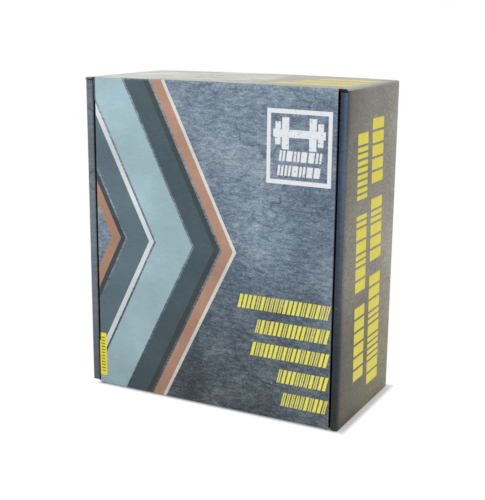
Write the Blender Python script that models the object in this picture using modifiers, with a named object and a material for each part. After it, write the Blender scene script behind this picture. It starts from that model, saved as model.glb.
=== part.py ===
"""Boxed suspension trainer: a printed mailer carton that stands on its front wall,
with a full-face lid hinged along its top edge, and the packed trainer inside it.

Metres, +Z up. The origin is the centre of the carton's base. The lid faces -Y.
Inside, a folded board tray stands against the rear panel. The trainer is tied to its deck:
a carabiner and ring in the middle, a strap wound in a doubled coil at each side, and below
each coil a cam buckle, a tube handle with its foam grip, a hand loop and a foot loop.
Every strap runs in an upright plane, so each is a line in X and Z with its width along Y.
"""

import math

import bmesh
import bpy
from mathutils import Matrix, Vector

# The carton and its board
WIDTH = 0.217
DEPTH = 0.108
HEIGHT = 0.250
BOARD = 0.0016
CLEAR = 0.0003
WELD = 0.00001
CUT_OVERRUN = 0.004

# Rolled side walls, and the corner flaps inside them
FLAP_SLACK = 0.0005
SIDE_WALL_END_GAP = 0.0008
SIDE_WALL_FOOT_GAP = 0.0020
FOLD_RADIUS = 0.0012
CORNER_FLAP_LENGTH = 0.055
CORNER_FLAP_INSET = 0.004
CORNER_FLAP_CHAMFER = 0.012
LOCK_TAB_LENGTH = 0.030
LOCK_TAB_SPACING = 0.130

# The lid and its three flaps
LID_SIDE_GAP = 0.0012
LID_FOOT_GAP = 0.0004
LID_CHAMFER = 0.0028
TUCK_DEPTH = 0.032
TUCK_INSET = 0.003
TUCK_CHAMFER = 0.008
TUCK_LEAN = math.radians(5)
DUST_DEPTH = 0.032
DUST_TOP_GAP = 0.018
DUST_FOOT_GAP = 0.002
DUST_TAPER = 0.012

# The board tray behind the trainer
TRAY_DEPTH = 0.0241
TIE_THICKNESS = 0.0008
TIE_WIDTH = 0.008
TIE_CORNER = 0.0006
TIE_SLOT_GAP = 0.0004

# The exercise guide in the space behind the deck
GUIDE_WIDTH = 0.148
GUIDE_HEIGHT = 0.210
GUIDE_THICKNESS = 0.0018

# Webbing
WEBBING = 0.0020
STACK_GAP = 0.0003
LEG_WIDTH = 0.032
ANCHOR_WIDTH = 0.025
HAND_WIDTH = 0.020

# The doubled coil of each main strap
COIL_LEAST_CORE = 0.0075
COIL_PITCH = 0.0026
COIL_STEPS = 20
COIL_SIDE_GAP = 0.0031
COIL_TOP_GAP = 0.0078
RISER_GAP = 0.0039
COIL_EXIT = math.radians(30)
TAIL_BEND = 0.020
TAIL_END = 0.014
LEAST_COIL_GAP = 0.0004

# The handles
HANDLE_FOOT_GAP = 0.0078
HANDLE_TOP_GAP = 0.0068
HANDLE_SIDE_GAP = 0.0067
GRIP_RADIUS = 0.0175
GRIP_END_RADIUS = 0.0165
GRIP_WAIST_RADIUS = 0.0168
GRIP_RING_SHARES = (1, 0.9, 0.45, 0, -0.45, -0.9, -1)
TUBE_RADIUS = 0.0126
TUBE_WALL = 0.0020
TUBE_PROUD = 0.0006
CAP_RADIUS = 0.0190
CAP_THICKNESS = 0.0042
CAP_EDGE = 0.0010
INNER_BEND = 0.006
OUTER_BEND = 0.0075
BEND_RISE = 0.0025

# The cam buckles
HAND_LOOP_REACH = 0.0315
BAR_RADIUS = 0.0025
BAR_OFFSET = 0.0075
BAR_BOSS = 0.0045
PIVOT_RISE = 0.036
CAM_RADIUS = 0.0037
CAM_OFFSET = 0.0012
CAM_ANGLE = math.radians(60)
PIVOT_BOSS = 0.0052
TOP_BOSS = 0.003
TOP_BOSS_RISE = 0.005
TOP_BOSS_OFFSET = 0.0016
PLATE_THICKNESS = 0.0016
PLATE_GAP = 0.0004
BACK_PLATE_THICKNESS = 0.0018
BACK_PLATE_LENGTH = 0.028
BACK_PLATE_RISE = 0.015
PIN_RADIUS = 0.0020
PIN_HEAD_RADIUS = 0.0033
PIN_HEAD = 0.0007
LEVER_LENGTH = 0.021
LEVER_LEAN = math.radians(9)
LEVER_TIP_RADIUS = 0.0014
LEVER_SIDE_GAP = 0.0040
SPRING_WIRE = 0.0004
SPRING_PITCH = 0.0013
SPRING_TURNS = 2
SPRING_STEPS = 10
SPRING_LEG = 0.008

# The carabiner
CARABINER_ROD = 0.004
OVAL_RADIUS = 0.0165
OVAL_STRAIGHT = 0.043
CARABINER_TOP_GAP = 0.0064
GATE_RADIUS = 0.0034
GATE_FOOT_RISE = 0.004
GATE_LENGTH = 0.031
TONGUE_THICKNESS = 0.0034
TONGUE_RADIUS = 0.0032
TONGUE_LENGTH = 0.0065
GATE_PIN_RADIUS = 0.0012
FORK_DEPTH = 0.0078

# The ring and the anchor strap
RING_ROD = 0.0025
RING_HALF_WIDTH = 0.0162
RING_HALF_HEIGHT = 0.009
RING_CORNER = 0.0034
ANCHOR_TAPER = 0.0108
SEAM_TOP_SHARE = 0.89
SEAM_FOOT_SHARE = 0.665
LEG_BEND_SHARE = 0.56
DOOR_LOOP_SHARE = 0.35

# The door anchor
PAD_RADIUS = 0.014
PAD_LENGTH = 0.036
PAD_EDGE = 0.003
DOOR_LOOP_RADIUS = 0.006

# Facets
ARC_STEP = math.radians(15)
TURN_STEPS = 24
BAR_STEPS = 12
WIRE_RESOLUTION = 2
SPRING_RESOLUTION = 1
OVAL_STEPS = 8

# Places that follow from the sizes above
HALF_WIDTH = WIDTH / 2
HALF_DEPTH = DEPTH / 2
SIDE_WALL = 3 * BOARD + 2 * FLAP_SLACK
INNER_X = HALF_WIDTH - SIDE_WALL
INNER_TOP = HEIGHT - BOARD
REAR_INNER = HALF_DEPTH - BOARD
LID_HALF = INNER_X - LID_SIDE_GAP
LID_INNER_Y = BOARD - HALF_DEPTH
DECK_Y = REAR_INNER - CLEAR - TRAY_DEPTH
TRAY_HALF = INNER_X - CLEAR

OVAL_TOP = INNER_TOP - CARABINER_TOP_GAP - CARABINER_ROD - OVAL_RADIUS
OVAL_BOTTOM = OVAL_TOP - OVAL_STRAIGHT
RING_TOP_Z = OVAL_BOTTOM - OVAL_RADIUS + CARABINER_ROD + CLEAR + RING_ROD
RING_Z = RING_TOP_Z - RING_HALF_HEIGHT
RING_FOOT_Z = RING_Z - RING_HALF_HEIGHT

RISER_X = OVAL_RADIUS + CARABINER_ROD + RISER_GAP + WEBBING / 2
LONG_ARM_RADIUS = (INNER_X - COIL_SIDE_GAP - WEBBING / 2 - RISER_X) / 2
COIL_TURNS = int((LONG_ARM_RADIUS - COIL_LEAST_CORE) / (2 * COIL_PITCH) - 0.5)
COIL_CORE = LONG_ARM_RADIUS - 2 * COIL_PITCH * (COIL_TURNS + 0.5)
COIL_RADIUS = LONG_ARM_RADIUS + WEBBING / 2
COIL_X = RISER_X + LONG_ARM_RADIUS
COIL_Z = INNER_TOP - COIL_TOP_GAP - COIL_RADIUS

HANDLE_X = INNER_X - HANDLE_SIDE_GAP - CAP_RADIUS
LOOP_OVERHANG = BEND_RISE + INNER_BEND + WEBBING / 2
LOOP_TOP = COIL_Z - COIL_RADIUS - HANDLE_TOP_GAP
LOOP_FOOT = BOARD + HANDLE_FOOT_GAP
HANDLE_Z = (LOOP_TOP + LOOP_FOOT) / 2
TUBE_BORE = TUBE_RADIUS - TUBE_WALL
TUBE_HALF = (LOOP_TOP - LOOP_FOOT) / 2 - LOOP_OVERHANG
GRIP_LENGTH = 2 * (TUBE_HALF - TUBE_PROUD - CAP_THICKNESS - CLEAR)
MID_Y = DECK_Y - CLEAR - CAP_RADIUS

BAR_X = HANDLE_X - HAND_LOOP_REACH
BAR_Z = HANDLE_Z
STRAP_X = BAR_X - BAR_OFFSET
CAM_REACH = CAM_RADIUS + CAM_OFFSET * math.cos(CAM_ANGLE)
PIVOT_X = STRAP_X - WEBBING / 2 - CLEAR - CAM_REACH
PIVOT_Z = BAR_Z + PIVOT_RISE
PLATE_INNER = LEG_WIDTH / 2 + PLATE_GAP
PLATE_OUTER = PLATE_INNER + PLATE_THICKNESS

PAD_WRAP = PAD_RADIUS + CLEAR + WEBBING / 2
PAD_Z = BOARD + CLEAR + WEBBING / 2 + PAD_WRAP

# The column between the door anchor's pad and the ring
COLUMN_FOOT = PAD_Z + PAD_WRAP + WEBBING / 2
COLUMN = RING_FOOT_Z - COLUMN_FOOT
SEAM_TOP = COLUMN_FOOT + COLUMN * SEAM_TOP_SHARE
SEAM_FOOT = COLUMN_FOOT + COLUMN * SEAM_FOOT_SHARE
LEG_BEND_Z = COLUMN_FOOT + COLUMN * LEG_BEND_SHARE
DOOR_LOOP_TOP = COLUMN_FOOT + COLUMN * DOOR_LOOP_SHARE
PLY_X = (WEBBING + STACK_GAP) / 2
LEG_X = PLY_X + WEBBING + STACK_GAP

# Turns that put a flat outline into an upright plane
PLANES = {
    "XY": (0, 0, 0),
    "XZ": (math.pi / 2, 0, 0),
    "YZ": (math.pi / 2, 0, math.pi / 2),
}

# Colour, roughness and metallic value of each material
FINISHES = {
    "printed_board": ((0.30, 0.35, 0.39, 1), 0.45, 0.0),
    "kraft_board": ((0.56, 0.40, 0.25, 1), 0.85, 0.0),
    "black_webbing": ((0.03, 0.03, 0.03, 1), 0.8, 0.0),
    "yellow_webbing": ((0.80, 0.70, 0.05, 1), 0.8, 0.0),
    "foam": ((0.04, 0.04, 0.045, 1), 0.9, 0.0),
    "plastic": ((0.05, 0.05, 0.05, 1), 0.5, 0.0),
    "steel": ((0.62, 0.63, 0.65, 1), 0.3, 1.0),
    "black_steel": ((0.06, 0.06, 0.065, 1), 0.4, 1.0),
    "tie": ((0.08, 0.08, 0.08, 1), 0.7, 0.0),
    "paper": ((0.85, 0.85, 0.82, 1), 0.6, 0.0),
}


def clear_scene():
    """Removes whatever the file opened with."""
    for old in list(bpy.data.objects):
        bpy.data.objects.remove(old)


def collection(name, shown=True):
    """A new collection in the scene; cutters go in one that isn't rendered."""
    made = bpy.data.collections.new(name)
    made.hide_render = not shown
    bpy.context.scene.collection.children.link(made)
    return made


def finish(name):
    """The named material as a Principled BSDF."""
    found = bpy.data.materials.get(name)
    if found:
        return found
    colour, roughness, metallic = FINISHES[name]
    made = bpy.data.materials.new(name)
    made.use_nodes = True
    shader = made.node_tree.nodes["Principled BSDF"]
    shader.inputs["Base Color"].default_value = colour
    shader.inputs["Roughness"].default_value = roughness
    shader.inputs["Metallic"].default_value = metallic
    made.diffuse_color = colour
    return made


def keep(obj, material, parent=None):
    """Puts a finished piece in the object's collection, in its material, under its parent."""
    for old in list(obj.users_collection):
        old.objects.unlink(obj)
    PARTS.objects.link(obj)
    obj.data.materials.clear()
    obj.data.materials.append(finish(material))
    if parent:
        bpy.context.view_layer.update()
        obj.parent = parent
        obj.matrix_parent_inverse = parent.matrix_world.inverted()
    return obj


def as_cutter(obj):
    """Marks an object as a tool for a Boolean, which isn't a part."""
    for old in list(obj.users_collection):
        old.objects.unlink(obj)
    CUTTERS.objects.link(obj)
    obj.hide_render = True
    obj.display_type = "WIRE"
    return obj


def empty(name, origin):
    """An empty that carries the pieces of one moving body, on its joint's axis."""
    made = bpy.data.objects.new(name, None)
    made.location = origin
    PARTS.objects.link(made)
    bpy.context.view_layer.update()
    return made


def poly_curve(name, lines, cyclic, origin=(0, 0, 0), plane="XY"):
    """A curve object of straight-sided splines, one for each list of points."""
    data = bpy.data.curves.new(name, "CURVE")
    flat = len(lines[0][0]) == 2
    data.dimensions = "2D" if flat else "3D"
    for line in lines:
        spline = data.splines.new("POLY")
        spline.points.add(len(line) - 1)
        for point, place in zip(spline.points, line):
            point.co = (*place, 0, 1) if flat else (*place, 1)
        spline.use_cyclic_u = cyclic
    made = bpy.data.objects.new(name, data)
    made.location = origin
    made.rotation_euler = PLANES[plane]
    bpy.context.scene.collection.objects.link(made)
    return made


def plate(name, outlines, thickness, plane, origin):
    """A flat sheet cut to the first outline, with the others as holes, centred on its plane."""
    made = poly_curve(name, outlines, True, origin, plane)
    made.data.fill_mode = "BOTH"
    made.data.extrude = thickness / 2
    return made


def strap(name, line, width, origin):
    """Webbing that follows an open line in X and Z, with its width along Y."""
    made = poly_curve(name, [line], False, origin, "XZ")
    made.data.extrude = width / 2
    wall = made.modifiers.new("webbing", "SOLIDIFY")
    wall.thickness = WEBBING
    wall.offset = 0
    wall.use_even_offset = True
    return made


def tube_curve(name, line, radius, cyclic=False, resolution=WIRE_RESOLUTION):
    """A round rod along a line of points in space."""
    made = poly_curve(name, [line], cyclic)
    made.data.bevel_depth = radius
    made.data.bevel_resolution = resolution
    made.data.use_fill_caps = not cyclic
    return made


def as_mesh(curve):
    """A mesh object of the same name and place as a curve object, with its caps welded."""
    bpy.context.view_layer.update()
    graph = bpy.context.evaluated_depsgraph_get()
    data = bpy.data.meshes.new_from_object(curve.evaluated_get(graph))
    shape = bmesh.new()
    shape.from_mesh(data)
    bmesh.ops.remove_doubles(shape, verts=shape.verts, dist=WELD)
    shape.to_mesh(data)
    shape.free()
    name = curve.name
    place = curve.matrix_world.copy()
    bpy.data.objects.remove(curve)
    made = bpy.data.objects.new(name, data)
    bpy.context.scene.collection.objects.link(made)
    made.matrix_world = place
    return made


def box(name, low, high):
    """A block between two corners, with its origin at its centre and its size applied."""
    low, high = Vector(low), Vector(high)
    bpy.ops.mesh.primitive_cube_add(size=1, location=(low + high) / 2)
    made = bpy.context.active_object
    made.name = name
    made.data.transform(Matrix.Diagonal((*(high - low), 1)))
    return made


def cylinder(name, radius, length, origin, plane, steps):
    """A round bar centred on its origin, square to the named plane."""
    bpy.ops.mesh.primitive_cylinder_add(
        vertices=steps, radius=radius, depth=length, location=origin, rotation=PLANES[plane]
    )
    made = bpy.context.active_object
    made.name = name
    return made


def turned(name, profile, origin, plane="XY", steps=TURN_STEPS):
    """A ring or bar turned from a profile of (radius, height) that runs down its outer side."""
    data = bpy.data.meshes.new(name)
    points = [(radius, 0, height) for radius, height in profile]
    edges = [(n, n + 1) for n in range(len(points) - 1)]
    if profile[0][0] > 0:
        edges.append((len(points) - 1, 0))
    data.from_pydata(points, edges, [])
    made = bpy.data.objects.new(name, data)
    bpy.context.scene.collection.objects.link(made)
    made.location = origin
    made.rotation_euler = PLANES[plane]
    screw = made.modifiers.new("turn", "SCREW")
    screw.steps = steps
    screw.render_steps = steps
    screw.use_merge_vertices = True
    screw.merge_threshold = WELD
    return made


def boolean(obj, operation, tool):
    """Adds a Boolean with a tool object, which is put away with the cutters."""
    step = obj.modifiers.new(operation.lower(), "BOOLEAN")
    step.operation = operation
    step.object = as_cutter(tool)
    return obj


def arc(centre, radius, start, end, step=ARC_STEP):
    """Points on a circle from one angle to another, both ends included."""
    count = max(1, math.ceil(abs(end - start) / step))
    angles = [start + (end - start) * n / count for n in range(count + 1)]
    return [
        (centre[0] + radius * math.cos(a), centre[1] + radius * math.sin(a)) for a in angles
    ]


def wrap(circles, offset=0.0):
    """The closed line of a belt drawn tight round circles (x, z, radius), listed anticlockwise."""
    normals = []
    for (x, z, r), (nx, nz, nr) in zip(circles, circles[1:] + circles[:1]):
        run = math.hypot(nx - x, nz - z)
        heading = math.atan2(nz - z, nx - x)
        normals.append(heading - math.pi / 2 + math.asin((r - nr) / run))
    line = []
    for n, (x, z, r) in enumerate(circles):
        start, end = normals[n - 1], normals[n]
        while end < start:
            end += 2 * math.pi
        line += arc((x, z), r + offset, start, end)
    return line


def belt(name, circles, width, origin):
    """A closed loop of webbing round circles whose radii are those of its middle line."""
    outlines = [wrap(circles, WEBBING / 2), wrap(circles, -WEBBING / 2)]
    return plate(name, outlines, width, "XZ", origin)


def rounded_box(low, high, corner):
    """A rectangle's outline between two corners, with round corners, anticlockwise."""
    (left, foot), (right, top) = low, high
    turns = [
        (right - corner, foot + corner, -math.pi / 2),
        (right - corner, top - corner, 0),
        (left + corner, top - corner, math.pi / 2),
        (left + corner, foot + corner, math.pi),
    ]
    line = []
    for x, z, start in turns:
        line += arc((x, z), corner, start, start + math.pi / 2, math.pi / 4)
    return line


def mirrored(line, side):
    """An outline for the side at +X (1) or at -X (-1), still anticlockwise."""
    if side > 0:
        return line
    return [(-x, z) for x, z in reversed(line)]


def make_base_and_walls():
    """The rear panel with its lock slots, and the top and bottom walls."""
    tab_x = INNER_X + BOARD / 2
    slot_half = BOARD / 2 + CLEAR
    slots = []
    for side in (-1, 1):
        for end in (-1, 1):
            middle = HEIGHT / 2 + end * LOCK_TAB_SPACING / 2
            reach = LOCK_TAB_LENGTH / 2 + CLEAR
            left, right = side * tab_x - slot_half, side * tab_x + slot_half
            slots.append(
                [
                    (left, middle - reach),
                    (right, middle - reach),
                    (right, middle + reach),
                    (left, middle + reach),
                ]
            )
    outline = [(-HALF_WIDTH, 0), (HALF_WIDTH, 0), (HALF_WIDTH, HEIGHT), (-HALF_WIDTH, HEIGHT)]
    rear = plate(
        "base_panel", [outline, *slots], BOARD, "XZ", (0, HALF_DEPTH - BOARD / 2, 0)
    )
    keep(rear, "printed_board")

    notch_x = LID_HALF + CLEAR
    notch_y = LID_INNER_Y + CLEAR
    rear_y = REAR_INNER - CLEAR
    top_outline = [
        (-HALF_WIDTH, -HALF_DEPTH),
        (-notch_x, -HALF_DEPTH),
        (-notch_x, notch_y),
        (notch_x, notch_y),
        (notch_x, -HALF_DEPTH),
        (HALF_WIDTH, -HALF_DEPTH),
        (HALF_WIDTH, rear_y),
        (-HALF_WIDTH, rear_y),
    ]
    keep(
        plate("top_wall", [top_outline], BOARD, "XY", (0, 0, HEIGHT - BOARD / 2)),
        "printed_board",
    )
    foot_x = HALF_WIDTH - BOARD - CLEAR
    foot = box("bottom_wall", (-foot_x, notch_y, 0), (foot_x, rear_y, BOARD))
    keep(foot, "printed_board")


def side_wall(side, name):
    """A rolled wall: the outer panel, the strip along the front edge and the inner panel.

    Its section is a U that opens to the rear, and the inner panel's tabs lock in the base."""
    foot, top = SIDE_WALL_FOOT_GAP, INNER_TOP - SIDE_WALL_END_GAP
    rear_y = REAR_INNER - CLEAR
    fold = FOLD_RADIUS
    section = [
        *arc((HALF_WIDTH - fold, fold - HALF_DEPTH), fold, -math.pi / 2, 0, math.pi / 6),
        (HALF_WIDTH, rear_y),
        (HALF_WIDTH - BOARD, rear_y),
        (HALF_WIDTH - BOARD, LID_INNER_Y),
        (INNER_X + BOARD, LID_INNER_Y),
        (INNER_X + BOARD, rear_y),
        (INNER_X, rear_y),
        *arc((INNER_X + fold, fold - HALF_DEPTH), fold, math.pi, 1.5 * math.pi, math.pi / 6),
    ]
    wall = plate(name, [mirrored(section, side)], top - foot, "XY", (0, 0, (top + foot) / 2))
    wall = as_mesh(wall)
    low_x, high_x = sorted((side * INNER_X, side * (INNER_X + BOARD)))
    for end in (-1, 1):
        middle = HEIGHT / 2 + end * LOCK_TAB_SPACING / 2
        tab = box(
            f"{name}_tab",
            (low_x, rear_y - CUT_OVERRUN, middle - LOCK_TAB_LENGTH / 2),
            (high_x, HALF_DEPTH, middle + LOCK_TAB_LENGTH / 2),
        )
        boolean(wall, "UNION", tab)
    keep(wall, "printed_board")


def corner_flap(side, end, name):
    """A flap of the top or bottom wall, folded into the gap of a rolled side wall."""
    root = INNER_TOP - CLEAR if end > 0 else BOARD + CLEAR
    tip = root - end * CORNER_FLAP_LENGTH
    front = LID_INNER_Y + CORNER_FLAP_INSET
    rear = REAR_INNER - CORNER_FLAP_INSET
    cut = CORNER_FLAP_CHAMFER
    outline = [
        (front, root),
        (front, tip + end * cut),
        (front + cut, tip),
        (rear - cut, tip),
        (rear, tip + end * cut),
        (rear, root),
    ]
    if end < 0:
        outline.reverse()
    middle_x = side * (HALF_WIDTH - BOARD - FLAP_SLACK - BOARD / 2)
    keep(plate(name, [outline], BOARD, "YZ", (middle_x, 0, 0)), "kraft_board")


def make_lid():
    """The lid panel with its origin on the hinge, and its tuck flap and two dust flaps."""
    hinge = empty("lid_hinge_axis", (0, -HALF_DEPTH, HEIGHT))
    foot = LID_FOOT_GAP - HEIGHT
    outline = [
        (-LID_HALF + LID_CHAMFER, foot),
        (LID_HALF - LID_CHAMFER, foot),
        (LID_HALF, foot + LID_CHAMFER),
        (LID_HALF, 0),
        (-LID_HALF, 0),
        (-LID_HALF, foot + LID_CHAMFER),
    ]
    panel = plate("lid_panel", [outline], BOARD, "XZ", (0, BOARD / 2 - HALF_DEPTH, HEIGHT))
    keep(panel, "printed_board", hinge)

    crease_z = 2 * BOARD + CLEAR
    half = LID_HALF - TUCK_INSET
    tuck_outline = [
        (-half, CLEAR),
        (half, CLEAR),
        (half, TUCK_DEPTH - TUCK_CHAMFER),
        (half - TUCK_CHAMFER, TUCK_DEPTH),
        (TUCK_CHAMFER - half, TUCK_DEPTH),
        (-half, TUCK_DEPTH - TUCK_CHAMFER),
    ]
    tuck = plate("lid_tuck_flap", [tuck_outline], BOARD, "XY", (0, 0, 0))
    tuck = as_mesh(tuck)
    tuck.data.transform(Matrix.Translation((0, 0, -BOARD / 2)))
    tuck.rotation_euler = (TUCK_LEAN, 0, 0)
    tuck.location = (0, LID_INNER_Y, crease_z)
    keep(tuck, "kraft_board", hinge)

    for side, name in ((-1, "lid_left_flap"), (1, "lid_right_flap")):
        low, high = crease_z + TUCK_DEPTH + DUST_FOOT_GAP, HEIGHT - DUST_TOP_GAP
        flap_outline = [
            (CLEAR, low - HEIGHT),
            (DUST_DEPTH, low + DUST_TAPER - HEIGHT),
            (DUST_DEPTH, high - DUST_TAPER - HEIGHT),
            (CLEAR, high - HEIGHT),
        ]
        flap = plate(name, [flap_outline], BOARD, "YZ", (0, 0, 0))
        flap = as_mesh(flap)
        flap.data.transform(Matrix.Translation((0, 0, side * BOARD / 2)))
        flap.location = (side * (LID_HALF - BOARD), LID_INNER_Y, HEIGHT)
        keep(flap, "kraft_board", hinge)


def tie_loop(low, high):
    """Outer and inner outlines of a band's closed loop, between its inner corners."""
    grow = TIE_THICKNESS
    outer = rounded_box(
        (low[0] - grow, low[1] - grow), (high[0] + grow, high[1] + grow), TIE_CORNER + grow
    )
    return [outer, rounded_box(low, high, TIE_CORNER)]


def tie_plans():
    """Each tie as name, plane, place along its width, and the inner corners of its loop.

    A loop runs in front of its piece and closes behind the tray's deck."""
    back = DECK_Y + BOARD + CLEAR
    coil_front = MID_Y - LEG_WIDTH / 2 - CLEAR
    grip_front = MID_Y - GRIP_RADIUS - CLEAR
    rod_front = MID_Y - CARABINER_ROD - CLEAR
    pad_front = MID_Y - PAD_LENGTH / 2 - CLEAR
    grip_in = GRIP_RADIUS + CLEAR
    grip_out = CAP_RADIUS + WEBBING + 2 * CLEAR
    rod = CARABINER_ROD + CLEAR
    wrap_half = PAD_WRAP + WEBBING / 2 + CLEAR
    around = COIL_RADIUS + CLEAR
    plans = []
    for side, word in ((-1, "left"), (1, "right")):
        plans.append(
            (
                f"{word}_coil_tie",
                "YZ",
                side * COIL_X,
                (coil_front, COIL_Z - around),
                (back, COIL_Z + around),
            )
        )
        x_low, x_high = HANDLE_X - grip_in, HANDLE_X + grip_out
        if side < 0:
            x_low, x_high = -x_high, -x_low
        plans.append(
            (f"{word}_handle_tie", "XY", HANDLE_Z, (x_low, grip_front), (x_high, back))
        )
    middle = (OVAL_TOP + OVAL_BOTTOM) / 2
    plans.append(
        (
            "carabiner_tie",
            "XY",
            middle,
            (-OVAL_RADIUS - rod, rod_front),
            (rod - OVAL_RADIUS, back),
        )
    )
    plans.append(
        ("door_anchor_tie", "XY", PAD_Z, (-wrap_half, pad_front), (wrap_half, back))
    )
    return plans


def make_ties():
    """The bands that hold the trainer to the deck."""
    for name, plane, place, low, high in tie_plans():
        origin = (place, 0, 0) if plane == "YZ" else (0, 0, place)
        keep(plate(name, tie_loop(low, high), TIE_WIDTH, plane, origin), "tie")


def tie_slots():
    """A cutter for each place where a tie passes through the deck, as low and high corners."""
    reach = TIE_WIDTH / 2 + TIE_SLOT_GAP
    front, back = DECK_Y - CUT_OVERRUN, DECK_Y + BOARD + CUT_OVERRUN
    slots = []
    for _, plane, place, low, high in tie_plans():
        across = 1 if plane == "YZ" else 0
        for leg in (low[across] - TIE_THICKNESS, high[across]):
            start, end = leg - TIE_SLOT_GAP, leg + TIE_THICKNESS + TIE_SLOT_GAP
            if plane == "YZ":
                slots.append(((place - reach, front, start), (place + reach, back, end)))
            else:
                slots.append(((start, front, place - reach), (end, back, place + reach)))
    return slots


def make_tray():
    """A folded board tray: a deck with four skirts that stand on the base panel."""
    foot, top = BOARD + CLEAR, INNER_TOP - CLEAR
    rear = REAR_INNER - CLEAR
    tray = box("backing_tray", (-TRAY_HALF, DECK_Y, foot), (TRAY_HALF, rear, top))
    hollow = box(
        "tray_hollow",
        (BOARD - TRAY_HALF, DECK_Y + BOARD, foot + BOARD),
        (TRAY_HALF - BOARD, rear + CUT_OVERRUN, top - BOARD),
    )
    boolean(tray, "DIFFERENCE", hollow)
    for low, high in tie_slots():
        boolean(tray, "DIFFERENCE", box("tie_slot", low, high))
    keep(tray, "kraft_board")


def make_guide():
    """The exercise guide, upright on the tray's lower skirt and against the base panel."""
    foot = 2 * (BOARD + CLEAR)
    rear = REAR_INNER - CLEAR
    low = (-GUIDE_WIDTH / 2, rear - GUIDE_THICKNESS, foot)
    high = (GUIDE_WIDTH / 2, rear, foot + GUIDE_HEIGHT)
    keep(box("exercise_guide", low, high), "paper")


def coil_arm(turns, start):
    """Points of one arm of the doubled coil about its centre: radius = core + 2 pitch a turn."""
    count = round(turns * COIL_STEPS)
    line = []
    for n in range(count + 1):
        angle = 2 * math.pi * n / COIL_STEPS
        line.append((angle, start))
    if turns * COIL_STEPS > count:
        line.append((2 * math.pi * turns, start))
    points = []
    for angle, turn in line:
        radius = COIL_CORE + 2 * COIL_PITCH * angle / (2 * math.pi)
        points.append((radius * math.cos(angle + turn), radius * math.sin(angle + turn)))
    return points


def coil_heart():
    """The S at the coil's centre, from the start of one arm to the start of the other."""
    half = COIL_CORE / 2
    first = arc((half, 0), half, 0, -math.pi, math.pi / 5)
    second = arc((-half, 0), half, 0, math.pi, math.pi / 5)
    return first[1:] + second[1:-1]


def leg_line():
    """The whole main strap at +X, from the sewn joint, through the coil, to its free end."""
    bend = (RISER_X - LEG_X) / 2
    joint = [(LEG_X, SEAM_TOP), (LEG_X, (SEAM_TOP + LEG_BEND_Z) / 2)]
    turn = arc((LEG_X + bend, LEG_BEND_Z), bend, math.pi, 2 * math.pi)

    long_arm = coil_arm(COIL_TURNS + 0.5, 0)
    short_turns = COIL_TURNS + COIL_EXIT / (2 * math.pi)
    short_arm = coil_arm(short_turns, math.pi)
    coil = [*reversed(long_arm), *coil_heart(), *short_arm]
    coil = [(x + COIL_X, z + COIL_Z) for x, z in coil]

    leave_x, leave_z = coil[-1]
    lean = COIL_EXIT
    bend_x = TAIL_BEND * (1 - math.cos(lean))
    straight = (STRAP_X - bend_x - leave_x) / math.sin(lean)
    end_z = leave_z - straight * math.cos(lean)
    centre = (STRAP_X - TAIL_BEND, end_z - TAIL_BEND * math.sin(lean))
    tail = arc(centre, TAIL_BEND, lean, 0, math.pi / 18)
    free_end = (STRAP_X, BAR_Z - TAIL_END)
    return joint + turn + coil + tail + [(STRAP_X, PIVOT_Z), free_end]


def least_gap(line):
    """The least clear space between two stretches of a strap's line that aren't neighbours."""
    apart = 4
    least = math.inf
    for n, (ax, az) in enumerate(line[:-1]):
        bx, bz = line[n + 1]
        run = (bx - ax) ** 2 + (bz - az) ** 2
        for m, (px, pz) in enumerate(line):
            if n - apart < m < n + apart + 1:
                continue
            share = ((px - ax) * (bx - ax) + (pz - az) * (bz - az)) / run
            share = min(1.0, max(0.0, share))
            reach = math.hypot(px - ax - share * (bx - ax), pz - az - share * (bz - az))
            least = min(least, reach)
    return least - WEBBING


def line_length(line):
    """The length of an open line."""
    return sum(math.dist(a, b) for a, b in zip(line, line[1:]))


def make_main_straps():
    """The two wound main straps, and a printed check of the gap between their turns."""
    line = leg_line()
    gap = least_gap(line)
    print(f"main strap: {line_length(line):.3f} m long, least gap between turns {gap * 1000:.2f} mm")
    assert gap > LEAST_COIL_GAP, "the coil's turns lie too close"
    for side, name in ((-1, "left_main_strap"), (1, "right_main_strap")):
        keep(strap(name, mirrored(line, side), LEG_WIDTH, (0, MID_Y, 0)), "black_webbing")


def make_anchor():
    """The ring in the carabiner, and the anchor strap that is sewn between the two legs."""
    half, tall, corner = RING_HALF_WIDTH, RING_HALF_HEIGHT, RING_CORNER
    loop = rounded_box((-half, -tall), (half, tall), corner)
    line = [(0, MID_Y + y, RING_Z + z) for y, z in loop]
    keep(tube_curve("anchor_ring", line, RING_ROD, cyclic=True), "steel")

    bend = RING_ROD + CLEAR + WEBBING / 2
    lean = math.asin((bend - PLY_X) / ANCHOR_TAPER)
    over = arc((0, RING_FOOT_Z), bend, -lean, math.pi + lean)
    line = [(PLY_X, SEAM_FOOT), (PLY_X, RING_FOOT_Z - ANCHOR_TAPER), *over]
    line += [(-PLY_X, RING_FOOT_Z - ANCHOR_TAPER), (-PLY_X, SEAM_FOOT)]
    keep(strap("anchor_strap", line, ANCHOR_WIDTH, (0, MID_Y, 0)), "yellow_webbing")


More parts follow.
